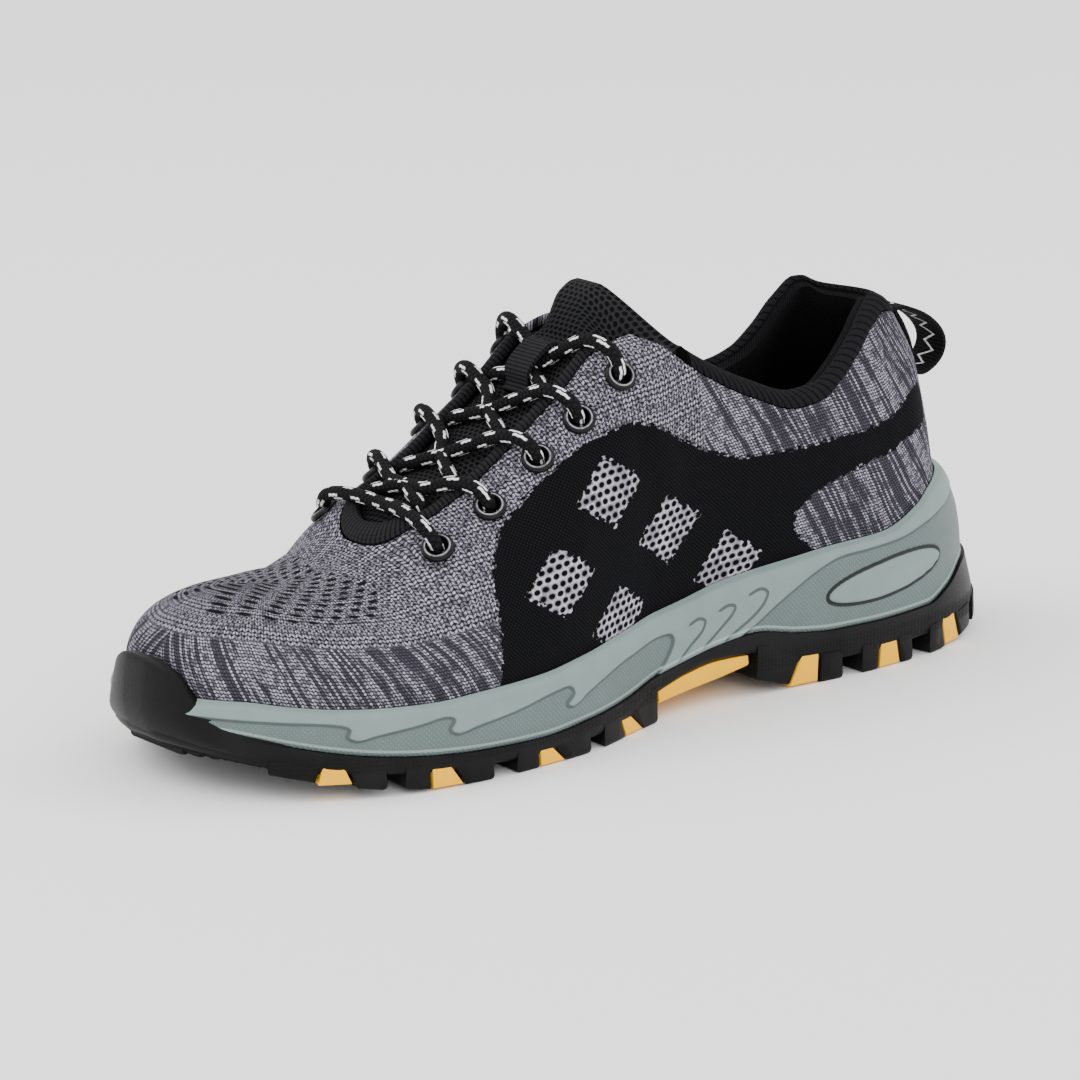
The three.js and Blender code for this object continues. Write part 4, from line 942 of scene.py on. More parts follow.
def build_inserts(finish):
    form = Form()
    for lug in LUGS.rows:
        for side in (1, -1):
            prism(form, insert_rings(lug, side, 0.0))
    nodes = nodes_named("lug_insert")
    bevelled(form.build("lug_inserts", finish, "insert_rubber", nodes, smooth=30), 0.35)
    places = np.linspace(*ARCH_PLATE["at"][[0, -1]], 60)
    high = ARCH_PLATE.curve("top")(places) * CUP_HEIGHT - CLEARANCE
    low = ARCH_PLATE.curve("foot")(places) * CUP_HEIGHT - CLEARANCE
    outer, inner = Stations(places, 1.0), Stations(places, -1.0)
    inset = 1.2
    half = ((inset + 1.6, 0.0), (inset + 0.5, 0.08), (inset, 0.3), (inset + 0.3, 1.0))
    ring = [(outer, *spot) for spot in half] + [(inner, *spot) for spot in half[::-1]]
    rings = [st.inset(depth, mix(low, high, up)) for st, depth, up in ring]
    rings = np.array(rings + rings[:1]).transpose(1, 0, 2)
    plate = Form().strip(rings)
    plate.build("arch_plate_yellow", finish, "insert_rubber", ["arch_plate"], smooth=40)


# Padding and lining

def build_insole(finish):
    st = around(200)
    edge = FEATHER + UPPER_WALL + CLEARANCE
    top = 4.3
    section = [(st.run, CLEARANCE), (edge, CLEARANCE), (edge, 3.2), (edge + 0.5, 4.0),
               (edge + 1.2, top)]
    section += [(mix(INNER_ROW, st.run, t), top) for t in (0, 0.25, 0.5, 0.75, 1)]
    rows = np.array([st.layer(depth, "bed", lift) for depth, lift in section])
    form = Form("plan").grid(rows, plan=rows[..., :2])
    form.build("footbed", finish, "lining_fabric", ["insole"])


def build_collar(finish):
    wall = UPPER_WALL + CLEARANCE * 2
    roll, drop = 5.0, 34.0
    thick = wall + 7.0
    profile = np.array([
        (0.3, wall), (0.3, -0.2), (roll * 0.25, -0.75), (roll * 0.5, -0.7), (roll * 0.75, -0.1),
        (roll * 0.95, 1.2), (roll * 1.02, 2.6), (roll * 0.85, 4.0), (roll * 0.62, 4.7),
        (roll * 0.66, thick * 0.62), (roll * 0.5, thick * 0.86), (-drop * 0.02, thick * 0.97),
        (-drop * 0.12, thick), (-drop * 0.3, thick * 0.97), (-drop * 0.45, thick * 0.9),
        (-drop * 0.65, thick * 0.78), (-drop * 0.82, thick * 0.6), (-drop, wall + 1.2),
        (-drop, wall), (-drop * 0.5, wall), (0.3, wall),
    ])
    st = around_end(0.428, 240)
    edge, floor = st.collar(), st.rim + 2
    rings = []
    for up, depth in profile:
        z = np.maximum(edge + up, floor + up / drop)
        rings.append(st.last(st.angle_up(z, depth), depth))
    rings = np.array(rings).transpose(1, 0, 2)
    form = Form("cloth").strip(rings, cloth=cloth_map(rings, 5))
    piece = form.build("collar_padding", finish, "lining_fabric", ["collar"], smooth=50)


TONGUE_DEPTH, TONGUE_PAD, TONGUE_WIDTH = UPPER_WALL + 0.9, 5.0, 52.0
TONGUE_RUN = Table("at half swell", TONGUE_BODY.rows[::-1])
tongue_swell = TONGUE_RUN.curve("swell")


def swell_shape(share):
    return (1 - np.minimum(1, (share / 0.62) ** 2)) ** 2


def over_tongue(at, x, lift):
    share = np.abs(x) / (TONGUE_WIDTH / 2)
    face = -TONGUE_DEPTH + TONGUE_PAD * tongue_swell(at) * swell_shape(share)
    return over_upper(at, x, face + lift)[0]


def build_tongue(finish):
    across = np.sin(np.linspace(np.pi / 2, -np.pi / 2, 41))
    pad = TONGUE_PAD * (1 - 0.6 * across ** 4)
    share = np.concatenate([across, across[::-1]])
    rounds = np.concatenate([np.zeros(41), np.ones(41)])
    thick = np.concatenate([pad, pad[::-1]])
    rings = []
    for at, half, swell in TONGUE_BODY.rows:
        lift = -TONGUE_DEPTH + TONGUE_PAD * swell * swell_shape(share) - rounds * thick
        rings.append(over_upper(at, share * half * TONGUE_WIDTH / 2, lift)[0])
    shoulder = smooth(np.abs(share), 0.2, 0.95)
    for i, (at, height, fall, slide, half) in enumerate(TONGUE_TOP.rows):
        thin = 0.25 if i == len(TONGUE_TOP.rows) - 1 else 0.0
        depth = thick * mix(thin, 1 - thin, rounds)
        rings.append(np.stack([
            share * half * TONGUE_WIDTH / 2,
            LENGTH * (0.5 - at + slide * shoulder) + depth * 0.62,
            (height - fall * shoulder) * INSTEP_HEIGHT - depth * 0.78,
        ], -1))
    rings = np.array(rings)
    rings = flow(np.concatenate([rings, rings[:, :1]], 1), 150)
    form = Form("cloth").strip(rings, cloth=cloth_map(rings, 20))
    piece = form.build("tongue_pad", finish, "tongue_mesh", ["tongue"], smooth=60)


ROLL_WIDTH, ROLL_HEIGHT = 3.4, 1.0


def build_binding(finish):
    bend = THROAT_FRONT - THROAT_TURN
    front = THROAT_FRONT - bend * (1 - np.sin(np.linspace(0, np.pi / 2, 30)))
    places = np.unique(np.concatenate([np.linspace(0.515, THROAT_TURN, 60), front]))
    x = np.clip((places - THROAT_TURN) / (THROAT_FRONT - THROAT_TURN), 0, 1)
    half = THROAT_WIDTH / 2 * np.sqrt(1 - x * x)
    at = np.concatenate([places, places[-2::-1]])
    plan = np.stack([np.concatenate([half, -half[-2::-1]]), LENGTH * (0.5 - at)], -1)
    inward = beside(np.gradient(plan, axis=0))
    wide = ROLL_WIDTH * (1 + 0.5 * smooth(at, THROAT_TURN, THROAT_FRONT))
    rows = []
    profile = ((0.10, -2.4), (0.10, 0.2), (0.25, 0.8), (0.5, 1.05), (0.8, 0.9), (0.97, 0.35),
               (1.0, -0.6), (0.92, -2.0), (0.10, -2.4))
    for across, lift in profile:
        spot = plan + inward * (wide * across)[:, None]
        rows.append(over_upper(0.5 - spot[:, 1] / LENGTH, spot[:, 0], lift)[0])
    rings = np.array(rows).transpose(1, 0, 2)
    form = Form("cloth").strip(rings, cloth=cloth_map(rings, 3))
    form.build("throat_roll", finish, "webbing", ["throat_binding"], smooth=50)


def build_keeper(finish):
    middle = mix(EYELETS[0], EYELETS[1], 0.78)
    high = 2 * LACE_RADIUS + CLEARANCE * 5
    spots = ((-1.25, 0.3), (-1, 0.9), (-0.7, high * 0.85), (0, high + 0.5), (0.7, high * 0.85),
             (1, 0.9), (1.25, 0.3))
    section = ((5.0, 0.0), (5.15, 0.5), (5.0, 1.4), (2.5, 1.5), (0, 1.5), (-2.5, 1.5),
               (-5.0, 1.4), (-5.15, 0.5), (-5.0, 0.0), (-2.5, 0), (0, 0), (2.5, 0), (5.0, 0.0))
    rings = [[over_tongue(middle + share * 0.022, x, lift + thick) for x, thick in section]
             for share, lift in spots]
    rings = flow(np.array(rings), 60)
    form = Form("cloth").strip(rings, cloth=cloth_map(rings, 4))
    form.build("keeper_tape", finish, "webbing", ["tongue_keeper"], smooth=50)


# Eyelets, laces and the pull loop

FLANGE_LIFT = CLEARANCE * 2.6
BORE, BARREL, FLANGE = 2.8, 3.4, 4.7


def build_eyelets(finish):
    profile = np.array([
        (BORE, -2.0), (BARREL, -2.0), (BARREL, 0.1), (FLANGE - 0.1, 0.1), (FLANGE, 0.55),
        (FLANGE - 0.15, 1.1), (FLANGE - 0.6, 1.5), (BARREL + 0.25, 1.74), (BARREL - 0.1, 1.78),
        (BORE + 0.2, 1.62), (BORE + 0.02, 1.2), (BORE, 0.6), (BORE, -2.0),
    ])
    angle = np.linspace(0, 2 * np.pi, 41)[:, None]
    form = Form("turn")
    for at, x in EYELET_PLACES:
        centre, normal = over_upper(at, x)
        u = unit(np.cross(normal, [0, 1, 0]))
        v = np.cross(normal, u)
        spoke = np.cos(angle) * u + np.sin(angle) * v
        rings = centre + spoke[:, None] * profile[None, :, :1] + normal * profile[None, :, 1:]
        turn = np.stack(np.broadcast_arrays(profile[None, :, 0], angle), -1)
        form.grid(rings, turn=turn)
    form.build("eyelet_rings", finish, "eyelet_enamel", nodes_named("eyelet"), smooth=60)


def tube(form, path, radius, sides=16):
    """A round cord along a path, with its length and turn as a flat map"""
    tangent = unit(np.gradient(path, axis=0))
    normal = np.cross(tangent[0], [0, 0, 1.0])
    frames = []
    for t in tangent:
        normal = unit(normal - t * (normal @ t))
        frames.append((normal, np.cross(t, normal)))
    u, v = (np.array(side) for side in zip(*frames))
    angle = np.linspace(0, 2 * np.pi, sides + 1)
    size = np.broadcast_to(radius, len(path))[:, None, None]
    c, s = np.cos(angle)[None, :, None], np.sin(angle)[None, :, None]
    rings = path[:, None] + size * (c * u[:, None] + s * v[:, None])
    run = lengths(path)
    cord = np.stack(np.broadcast_arrays(run[:, None], angle[None] / (2 * np.pi)), -1)
    form.strip(rings, cord=cord)


LACE_HALF = EYELET_SPACING / 2
LACE_SEAT = FLANGE_LIFT + 1 + CLEARANCE + LACE_RADIUS
LACE_OVER = ROLL_HEIGHT + 2 * CLEARANCE + LACE_RADIUS


def lace_run(low, high, side):
    """From under the far facing, over the tongue and the near facing, down into an eyelet"""
    first, lift = min(low, THROAT_TURN) + 0.006, 2.3
    start = THROAT_WIDTH / 2 - ROLL_WIDTH - LACE_RADIUS - 1.2
    points = [
        over_tongue(first + 0.003, -side * (start + 2.4), 1.1),
        over_tongue(first, -side * start, lift - 0.1),
        over_tongue(mix(first, high, 0.1), -side * start * 0.5, lift + 0.1),
        over_tongue(mix(first, high, 0.24), 0, lift + 0.3),
        over_tongue(mix(low, high, 0.50), side * start * 0.62, lift + 0.8),
        over_upper(mix(low, high, 0.80), side * (LACE_HALF - 9.5), LACE_OVER)[0],
        over_upper(mix(low, high, 0.95), side * (LACE_HALF - 4), LACE_SEAT)[0],
        over_upper(high, side * (LACE_HALF - 0.9), 1.6)[0],
        over_upper(high, side * LACE_HALF, -1.8)[0],
    ]
    return flow(points, 90)


def build_laces(finish, radius):
    for i in range(len(EYELETS) - 1):
        form = Form("cord")
        for side in (1, -1):
            path = lace_run(EYELETS[i + 1], EYELETS[i], side)
            tube(form, path, mix(0.65, 1, smooth(lengths(path), 0, 4)) * radius)
        form.build(f"lace_crossing_{i + 1}", finish, "lace_cord", [f"lace_cross_{i + 1}"],
                   smooth=60)
    at = EYELETS[-1]
    spots = ((0, -1.8), (0.9, 1.6), (5, LACE_SEAT), (10.5, LACE_OVER), (18, LACE_OVER * 0.5))
    one = [over_upper(at, LACE_HALF - inward, lift)[0] for inward, lift in spots]
    two = [p * np.array([-1, 1, 1]) for p in one[::-1]]
    form = Form("cord")
    tube(form, flow(one + [over_upper(at, 0, 0.4)[0]] + two, 120), radius)
    form.build("lace_straight", finish, "lace_cord", ["lace_bar"], smooth=60)


def build_pull_loop(finish):
    heel = Stations(0.0, 1.0)
    high, reach, wide, tape = 23.0, 15.0, 12.0, 1.4
    foot = float(heel.collar()) - high

    def back(z):
        return float(heel.last(heel.angle_up(z))[1]) + CLEARANCE * 2

    outline = []
    for i in range(5):
        z = foot + high * (0.04 + 0.92 * i / 4)
        outline.append((back(z), z))
    for i in range(1, 12):
        angle = math.pi / 2 - i / 12 * math.pi
        z = foot + high / 2 * (1 + math.sin(angle))
        outline.append((back(z) + reach * math.cos(angle), z))
    line = flow(np.array(outline + outline[:1]), 120)
    step = np.gradient(line, axis=0)
    step[0] = step[-1] = line[1] - line[-2]
    inward = beside(step)
    section = np.array([(1, 0.1), (1.02, 0.5), (1, 0.9), (0.5, 1), (0, 1), (-0.5, 1), (-1, 0.9),
                        (-1.02, 0.5), (-1, 0.1), (-0.5, 0), (0, 0), (0.5, 0), (1, 0.1)])
    spots = line[:, None] + inward[:, None] * (section[None, :, 1:] * tape)
    x = np.broadcast_to(section[None, :, 0] * wide / 2, spots.shape[:2])
    rings = np.stack([x, spots[..., 0], spots[..., 1]], -1)
    run = lengths(rings)[:, 4:5]
    form = Form("cloth")
    form.grid(rings, cloth=np.stack([np.broadcast_to(run, x.shape), x], -1))
    form.build("heel_loop", finish, "webbing", ["pull_loop"], smooth=50)


# Finishes

class Value:
    """A number that varies over a surface; arithmetic on it adds the nodes"""

    def __init__(self, finish, socket):
        self.finish, self.socket = finish, socket

    def math(self, operation, *others):
        return self.finish.math(operation, self, *others)

    def __add__(self, other):
        return self.math("ADD", other)

    def __sub__(self, other):
        return self.math("SUBTRACT", other)

    def __rsub__(self, other):
        return self.finish.math("SUBTRACT", other, self)

    def __mul__(self, other):
        return self.math("MULTIPLY", other)

    def __truediv__(self, other):
        return self.math("DIVIDE", other)

    __radd__, __rmul__ = __add__, __mul__

    def floor(self):
        return self.math("FLOOR")

    def part(self):
        return self.math("FRACT")

    def size(self):
        return self.math("ABSOLUTE")

    def upto(self, other):
        return self.math("MINIMUM", other)

    def atleast(self, other):
        return self.math("MAXIMUM", other)

    def power(self, other):
        return self.math("POWER", other)

    def ease(self, low, high):
        """0 below low, 1 above high, smooth between"""
        node = self.finish.node("ShaderNodeMapRange", {"interpolation_type": "SMOOTHSTEP"},
                                Value=self, From_Min=low, From_Max=high)
        return Value(self.finish, node.outputs[0])


def linear(colour, share=1.0):
    """A share of a colour as read on a screen, 0 to 255, in the renderer's own values"""
    shares = [c * share / 255 for c in colour]
    values = [c / 12.92 if c <= 0.04045 else ((c + 0.055) / 1.055) ** 2.4 for c in shares]
    return (*values, 1.0)


class Finish:
    """One procedural material"""

    def __init__(self, name):
        self.material = bpy.data.materials.new(name)
        self.material.use_nodes = True
        self.tree = self.material.node_tree
        self.tree.nodes.clear()

    def node(self, kind, settings=None, **sockets):
        node = self.tree.nodes.new(kind)
        for key, value in (settings or {}).items():
            setattr(node, key, value)
        for name, value in sockets.items():
            key = int(name[1:]) if name[0] == "_" else name.replace("_", " ")
            socket = node.inputs[key]
            if isinstance(value, Value):
                self.tree.links.new(value.socket, socket)
            elif value is not None:
                socket.default_value = value
        return node

    def math(self, operation, *values):
        node = self.node("ShaderNodeMath", {"operation": operation},
                         **{f"_{i}": v for i, v in enumerate(values)})
        return Value(self, node.outputs[0])

    def flat_map(self, name):
        """The two numbers of one of the piece's flat maps"""
        uv = self.node("ShaderNodeUVMap", {"uv_map": name})
        parts = self.node("ShaderNodeSeparateXYZ", None, Vector=Value(self, uv.outputs[0]))
        return Value(self, parts.outputs[0]), Value(self, parts.outputs[1])

    def vector(self, x=0.0, y=0.0, z=0.0):
        return Value(self, self.node("ShaderNodeCombineXYZ", None, X=x, Y=y, Z=z).outputs[0])

    def place(self):
        """A point of the shoe in millimetres"""
        spot = Value(self, self.node("ShaderNodeTexCoord").outputs["Object"])
        node = self.node("ShaderNodeVectorMath", {"operation": "SCALE"}, _0=spot, Scale=1000.0)
        return Value(self, node.outputs[0])

    def chance(self, x, y, seed=0.0):
        """A number from 0 to 1 for each pair of whole numbers"""
        node = self.node("ShaderNodeTexWhiteNoise", {"noise_dimensions": "3D"},
                         Vector=self.vector(x, y, seed))
        return Value(self, node.outputs["Value"])

    def clouds(self, spot, scale, detail=2.0, rough=0.5):
        """Soft noise from 0 to 1; scale is in waves per millimetre"""
        node = self.node("ShaderNodeTexNoise", None, Vector=spot, Scale=scale, Detail=detail,
                         Roughness=rough)
        return Value(self, node.outputs[0])

    def blend(self, share, first, second):
        """Mixes two colours"""
        node = self.node("ShaderNodeMix", {"data_type": "RGBA"}, _0=share, _6=first, _7=second)
        return Value(self, node.outputs[2])

    def close(self, colour, rough, height=None, depth=0.3, **constants):
        """Ends the material; height is in millimetres times depth"""
        sockets = {"Base_Color": colour, "Roughness": rough, **constants}
        if height is not None:
            bump = self.node("ShaderNodeBump", None, Height=height, Strength=1.0,
                             Distance=depth * MM)
            sockets["Normal"] = Value(self, bump.outputs[0])
        shader = self.node("ShaderNodeBsdfPrincipled", None, **sockets)
        self.node("ShaderNodeOutputMaterial", None, Surface=Value(self, shader.outputs[0]))
        return self.material


def loops(f, along, up, width, rise, slant=1.1):
    """Knitted loops in upright columns: their height from 0 to 1, and a number for each loop"""
    column = along / width
    leg = (column.part() - 0.5).size()
    lift = up / rise + leg * slant
    swell = 1 - ((lift.part() - 0.5).size() * 2).power(2)
    swell = swell * (1 - ((leg - 0.25).size() * 4).power(4))
    return swell, f.chance(column.floor() * 2 + (column.part() - 0.5).ease(-0.01, 0.01),
                           lift.floor())


def spots(f, along, up, width, rise, long, high):
    """Rows of ovals set like bricks: 0 at an oval's middle, 1 at its edge, more outside"""
    row = up / rise
    column = along / width + row.floor() * 0.5
    x = (column.part() - 0.5) * (2 * width / long)
    y = (row.part() - 0.5) * (2 * rise / high)
    return (x * x + y * y).power(0.5), f.chance(column.floor(), row.floor(), 7.0)


def lines(value, pitch, share):
    """1 on thin lines across a value, 0 between them"""
    off = ((value / pitch).part() - 0.5).size()
    return 1 - off.ease(share * 0.4, share * 0.8)


def knit_finish(colours):
    f = Finish("two_tone_knit")
    s, g = f.flat_map("band")
    _, y = f.flat_map("plan")
    black, window = f.flat_map("mark")
    vamp, streak = f.flat_map("zone")
    spot = f.place()
    wander = f.clouds(spot, 0.09) - 0.5
    s, g = s + wander * 1.8, g + wander * 1.4

    # the pale zones: facing, holed vamp, streaked foot and heel
    swell, pick = loops(f, s, g, 2.1, 1.35)
    fleck = pick.ease(0.72, 0.76) * 0.7
    holes, _ = spots(f, y + wander, g, 4.8, 3.1, 3.2, 1.8)
    hole = (1 - holes.ease(0.6, 1.15)) * vamp.ease(-0.3, 0.3)
    lean = s - g * 0.55
    rib_swell, rib_pick = loops(f, lean, g, 1.9, 0.95, 0.7)
    low = streak.ease(-0.6, 0.6)
    swell = f.math("MULTIPLY_ADD", rib_swell - swell, low, swell)
    drift = f.clouds(f.vector(lean * 0.5, g * 0.09), 1.0, 3.0, 0.7)
    bold = (f.chance((lean / 0.95).floor(), 0.0, 5.0) * 0.45 + drift * 0.9).ease(0.64, 0.76)
    streaks = (bold * 0.9).atleast(rib_pick.ease(0.72, 0.76) * 0.65)
    dark = f.math("MULTIPLY_ADD", streaks - fleck, low, fleck)
    dots, _ = spots(f, s, g, 2.1, 1.6, 1.25, 0.95)
    dot = (1 - dots.ease(0.55, 1.1)) * (1 - low)
    # the yarn is darker between the loops, a painted shade that follows the loop height, and
    # darker on the dark flecks and streaks of yarn
    shade = swell.ease(0.15, 0.8) * (1 - dark)
    pale = f.blend(pick, linear(colours.knit, 0.84), linear(colours.knit, 1.12))
    colour = f.blend(shade, linear((46, 44, 53)), pale)
    colour = f.blend(hole.atleast(dot * 0.75), colour, linear((20, 19, 24)))

    # the black knit with its open windows
    step = (f.chance((s / 1.4).floor(), (g / 1.0).floor(), 3.0) - 0.5) * 1.5
    net, net_pick = spots(f, s, g, 2.9, 2.3, 1.9, 1.35)
    open_net = 1 - net.ease(0.8, 1.15)
    net_colour = f.blend(net_pick, linear((120, 117, 128)), linear((180, 177, 188)))
    net_colour = f.blend(net.ease(0.95, 1.5), linear((52, 50, 58)), net_colour)
    net_colour = f.blend(open_net, net_colour, linear((5, 5, 6)))
    grid = lines(s + g, 1.25, 0.5) * lines(s - g, 1.25, 0.5)
    ink = f.blend(grid, linear((6, 6, 8)), linear((22, 22, 25)))
    in_window = (window + step).ease(-0.1, 0.1)
    in_black = (black + step).ease(-0.1, 0.1)
    zone = f.blend(in_window, ink, net_colour)
    colour = f.blend(in_black, colour, zone)
    height = swell - hole * 1.6 - dot * 0.7
    black_height = f.math("MULTIPLY_ADD", (net.upto(1.6) - 1.0) * 0.9 - grid * 0.35, in_window,
                          grid * 0.35)
    height = f.math("MULTIPLY_ADD", black_height - height, in_black, height)
    return f.close(colour, 0.95, height, 0.6, Specular_IOR_Level=0.08)


def foam_finish(colours):
    f = Finish("moulded_foam")
    s, z = f.flat_map("side")
    field, oval = f.flat_map("mark")
    hook, beyond = f.flat_map("line")
    above, _ = f.flat_map("edge")
    inside = field.ease(0.35, 0.8) * (1 - oval.ease(-0.6, -0.3))
    hatch = lines(s + z, 1.5, 0.5).atleast(lines(s - z, 1.5, 0.5)) * inside
    groove = (1 - field.size().ease(0.25, 0.75)).atleast(1 - oval.size().ease(0.3, 0.7))
    hooked = (1 - hook.size().ease(0.25, 0.55)) * (1 - beyond.ease(0.0, 1.5))
    cloud = f.clouds(f.place(), 0.12, 3.0)
    colour = f.blend(cloud, linear(colours.foam, 0.93), linear(colours.foam, 1.05))
    # the sunk fields, their hatch lines, the grooves and the hooked lines are painted darker:
    # painted shade in these recesses
    colour = f.blend(inside * 0.12, colour, linear((72, 86, 84)))
    colour = f.blend(hatch * 0.55, colour, linear((60, 74, 72)))
    colour = f.blend(groove.atleast(hooked) * 0.72, colour, linear((38, 46, 45)))
    # a lighter band along the top edge of the midsole: a painted highlight
    rim = (1 - (above - 1.4).size().ease(0.25, 0.55)) * 0.5
    colour = f.blend(rim, colour, linear((168, 182, 178)))
    # the oval groove is painted near black: painted shade in the groove
    colour = f.blend((1 - oval.size().ease(0.35, 0.75)), colour, linear((20, 20, 22)))
    grain = f.clouds(f.place(), 2.2, 3.0)
    height = grain * 0.12 - hatch * 0.5 - hooked * 1.4 - groove * 0.6
    return f.close(colour, f.math("MULTIPLY_ADD", grain, 0.2, 0.45), height, 0.35,
                   Specular_IOR_Level=0.35)


def parts_of(f, spot):
    node = f.node("ShaderNodeSeparateXYZ", None, Vector=spot)
    return [Value(f, socket) for socket in node.outputs]


def rubber_finish():
    """Matt black rubber, with fine ribs on a band above the tread"""
    f = Finish("tread_rubber")
    spot = f.place()
    x, y, z = parts_of(f, spot)
    fine = lines(x + y, 1.3, 0.5).atleast(lines(z, 1.3, 0.5))
    above = (z - 6.0).ease(0, 1.5) * (1 - (z - 11.0).ease(0, 3))
    grain = f.clouds(spot, 1.8, 4.0, 0.6)
    dust = f.clouds(spot, 0.06, 3.0)
    colour = f.blend(dust.ease(0.35, 0.75), linear((9, 9, 10)), linear((17, 17, 18)))
    height = grain * 0.5 - fine * above * 0.5
    rough = f.math("MULTIPLY_ADD", grain, 0.2, 0.35) + above * 0.15
    return f.close(colour, rough, height, 0.25, Specular_IOR_Level=0.13)


def insert_finish(colours):
    f = Finish("yellow_rubber")
    spot = f.place()
    cloud, grain = f.clouds(spot, 0.2, 3.0), f.clouds(spot, 2.5, 3.0)
    colour = f.blend(cloud, linear(colours.insert, 0.94), linear(colours.insert))
    return f.close(colour, f.math("MULTIPLY_ADD", grain, 0.2, 0.42), grain, 0.08,
                   Specular_IOR_Level=0.2)


def lining_finish():
    """Collar: a rope-like roll at the top edge, twill below it"""
    f = Finish("collar_lining")
    run, girth = f.flat_map("cloth")
    roll = (girth - 1.0).ease(0, 1) * (1 - (girth - 12.0).ease(0, 1))
    rope = lines(run + girth * 0.7, 2.6, 0.7)
    twill = lines(run - girth * 0.8, 1.0, 0.6) * 0.5
    shape = f.math("MULTIPLY_ADD", rope - twill, roll, twill)
    fuzz = f.clouds(f.place(), 1.8, 3.0)
    colour = f.blend(shape * 0.7 + fuzz * 0.3, linear((4, 4, 5)), linear((27, 27, 29)))
    return f.close(colour, 0.95, shape * 1.2 + fuzz * 0.3, 0.5, Specular_IOR_Level=0.06)


def ribbed_finish(name, pitch):
    """Grosgrain: fine ribs across the tape"""
    f = Finish(name)
    run, girth = f.flat_map("cloth")
    rib = lines(run, pitch, 0.6)
    weave = lines(girth, pitch * 0.8, 0.6)
    fuzz = f.clouds(f.place(), 2.4, 3.0)
    shape = rib * 0.8 + weave * 0.2
    colour = f.blend(shape * 0.8 + fuzz * 0.2, linear((3, 3, 4)), linear((36, 36, 38)))
    return f.close(colour, 0.9, shape + fuzz * 0.3, 0.3, Specular_IOR_Level=0.08)


def mesh_finish():
    """Spacer mesh: hexagonal holes between soft threads"""
    f = Finish("spacer_mesh")
    run, girth = f.flat_map("cloth")
    ring, _ = spots(f, girth, run, 2.1, 1.55, 1.8, 1.3)
    thread = ring.ease(0.55, 1.05)
    fuzz = f.clouds(f.place(), 2.0, 3.0)
    colour = f.blend(thread * (fuzz * 0.5 + 0.7), linear((2, 2, 3)), linear((36, 36, 38)))
    return f.close(colour, 0.88, thread + fuzz * 0.25, 0.5, Specular_IOR_Level=0.1)


def braid_finish():
    """Round braid with paired pale flecks in two slanting rows"""
    f = Finish("lace_braid")
    run, turn = f.flat_map("cord")
    one, two = run / 1.6 + turn * 4, run / 1.6 - turn * 4
    strand = ((one.part() - 0.5).size() * 2).atleast((two.part() - 0.5).size() * 2)
    swell = 1 - strand.power(2)
    zig = ((run / 1.6).part() - 0.5).size() * 0.09
    cell = run / 9.0 + (turn * 3).floor() * 0.37
    lane = (turn * 3).part() + zig - 0.5
    pair = [(1 - (cell.part() - middle).size().ease(0.17, 0.22))
            * (1 - (lane - off).size().ease(0.07, 0.12))
            for middle, off in ((0.30, -0.13), (0.48, 0.17))]
    fleck = pair[0].atleast(pair[1])
    fuzz = f.clouds(f.place(), 2.5, 3.0)
    colour = f.blend(swell * 0.7 + fuzz * 0.3, linear((4, 4, 5)), linear((26, 26, 28)))
    colour = f.blend(fleck, colour, linear((244, 244, 246)))
    return f.close(colour, 0.85, swell + fleck * 0.4 + fuzz * 0.2, 0.4, Specular_IOR_Level=0.1)


def eyelet_finish():
    """Black enamel with a bright ring inside: a painted highlight on the rolled lip"""
    f = Finish("black_enamel")
    radius, _ = f.flat_map("turn")
    spot = f.place()
    patchy_glint_and_wear = f.clouds(spot, 0.9, 3.0)
    # the bright ring on the rolled lip is a painted highlight, its strength patchy; the same noise
    # varies roughness and bumps
    ring = radius.ease(3.3, 3.4) * (1 - radius.ease(3.65, 3.85))
    bright = ring * (patchy_glint_and_wear.ease(0.3, 0.6) * 0.6 + 0.3)
    colour = f.blend(bright, linear((6, 6, 7)), linear((150, 150, 156)))
    return f.close(colour, f.math("MULTIPLY_ADD", patchy_glint_and_wear, 0.2, 0.3), patchy_glint_and_wear, 0.03,
                   Specular_IOR_Level=0.2)


def loop_finish():
    """Webbing of the pull loop: ribs, and a pale zigzag down the middle of its outer face"""
    f = Finish("loop_webbing")
    run, x = f.flat_map("cloth")
    rib = lines(run, 1.2, 0.6)
    zig = (((run / 5.0).part() - 0.5).size() - 0.25) * 9.0
    fleck = 1 - (x - zig).size().ease(0.4, 0.7)
    fuzz = f.clouds(f.place(), 2.4, 3.0)
    colour = f.blend(rib * 0.7 + fuzz * 0.3, linear((3, 3, 4)), linear((24, 24, 26)))
    colour = f.blend(fleck, colour, linear((225, 225, 228)))
    return f.close(colour, 0.9, rib + fuzz * 0.3, 0.35, Specular_IOR_Level=0.08)


def footbed_finish():
    f = Finish("footbed_cloth")
    x, y = f.flat_map("plan")
    weave = lines(x, 0.9, 0.9) * lines(y, 0.9, 0.9)
    fuzz = f.clouds(f.place(), 1.6, 3.0)
    colour = f.blend(weave * 0.5 + fuzz * 0.5, linear((5, 5, 6)), linear((26, 26, 28)))
    return f.close(colour, 0.95, weave * 0.5 + fuzz, 0.25, Specular_IOR_Level=0.06)


def floor_finish():
    f = Finish("pale_floor")
    return f.close(linear((250, 250, 250)), 0.85, Specular_IOR_Level=0.2)


# Stage, camera and lights

def build_stage(finish):
    mesh = bpy.data.meshes.new("studio_floor")
    half = 6.0
    corners = [(x * half, y * half, 0) for x, y in ((-1, -1), (1, -1), (1, 1), (-1, 1))]
    mesh.from_pydata(corners, [], [(0, 1, 2, 3)])
    mesh.materials.append(finish)
    floor = bpy.data.objects.new("studio_floor", mesh)
    bpy.context.scene.collection.objects.link(floor)


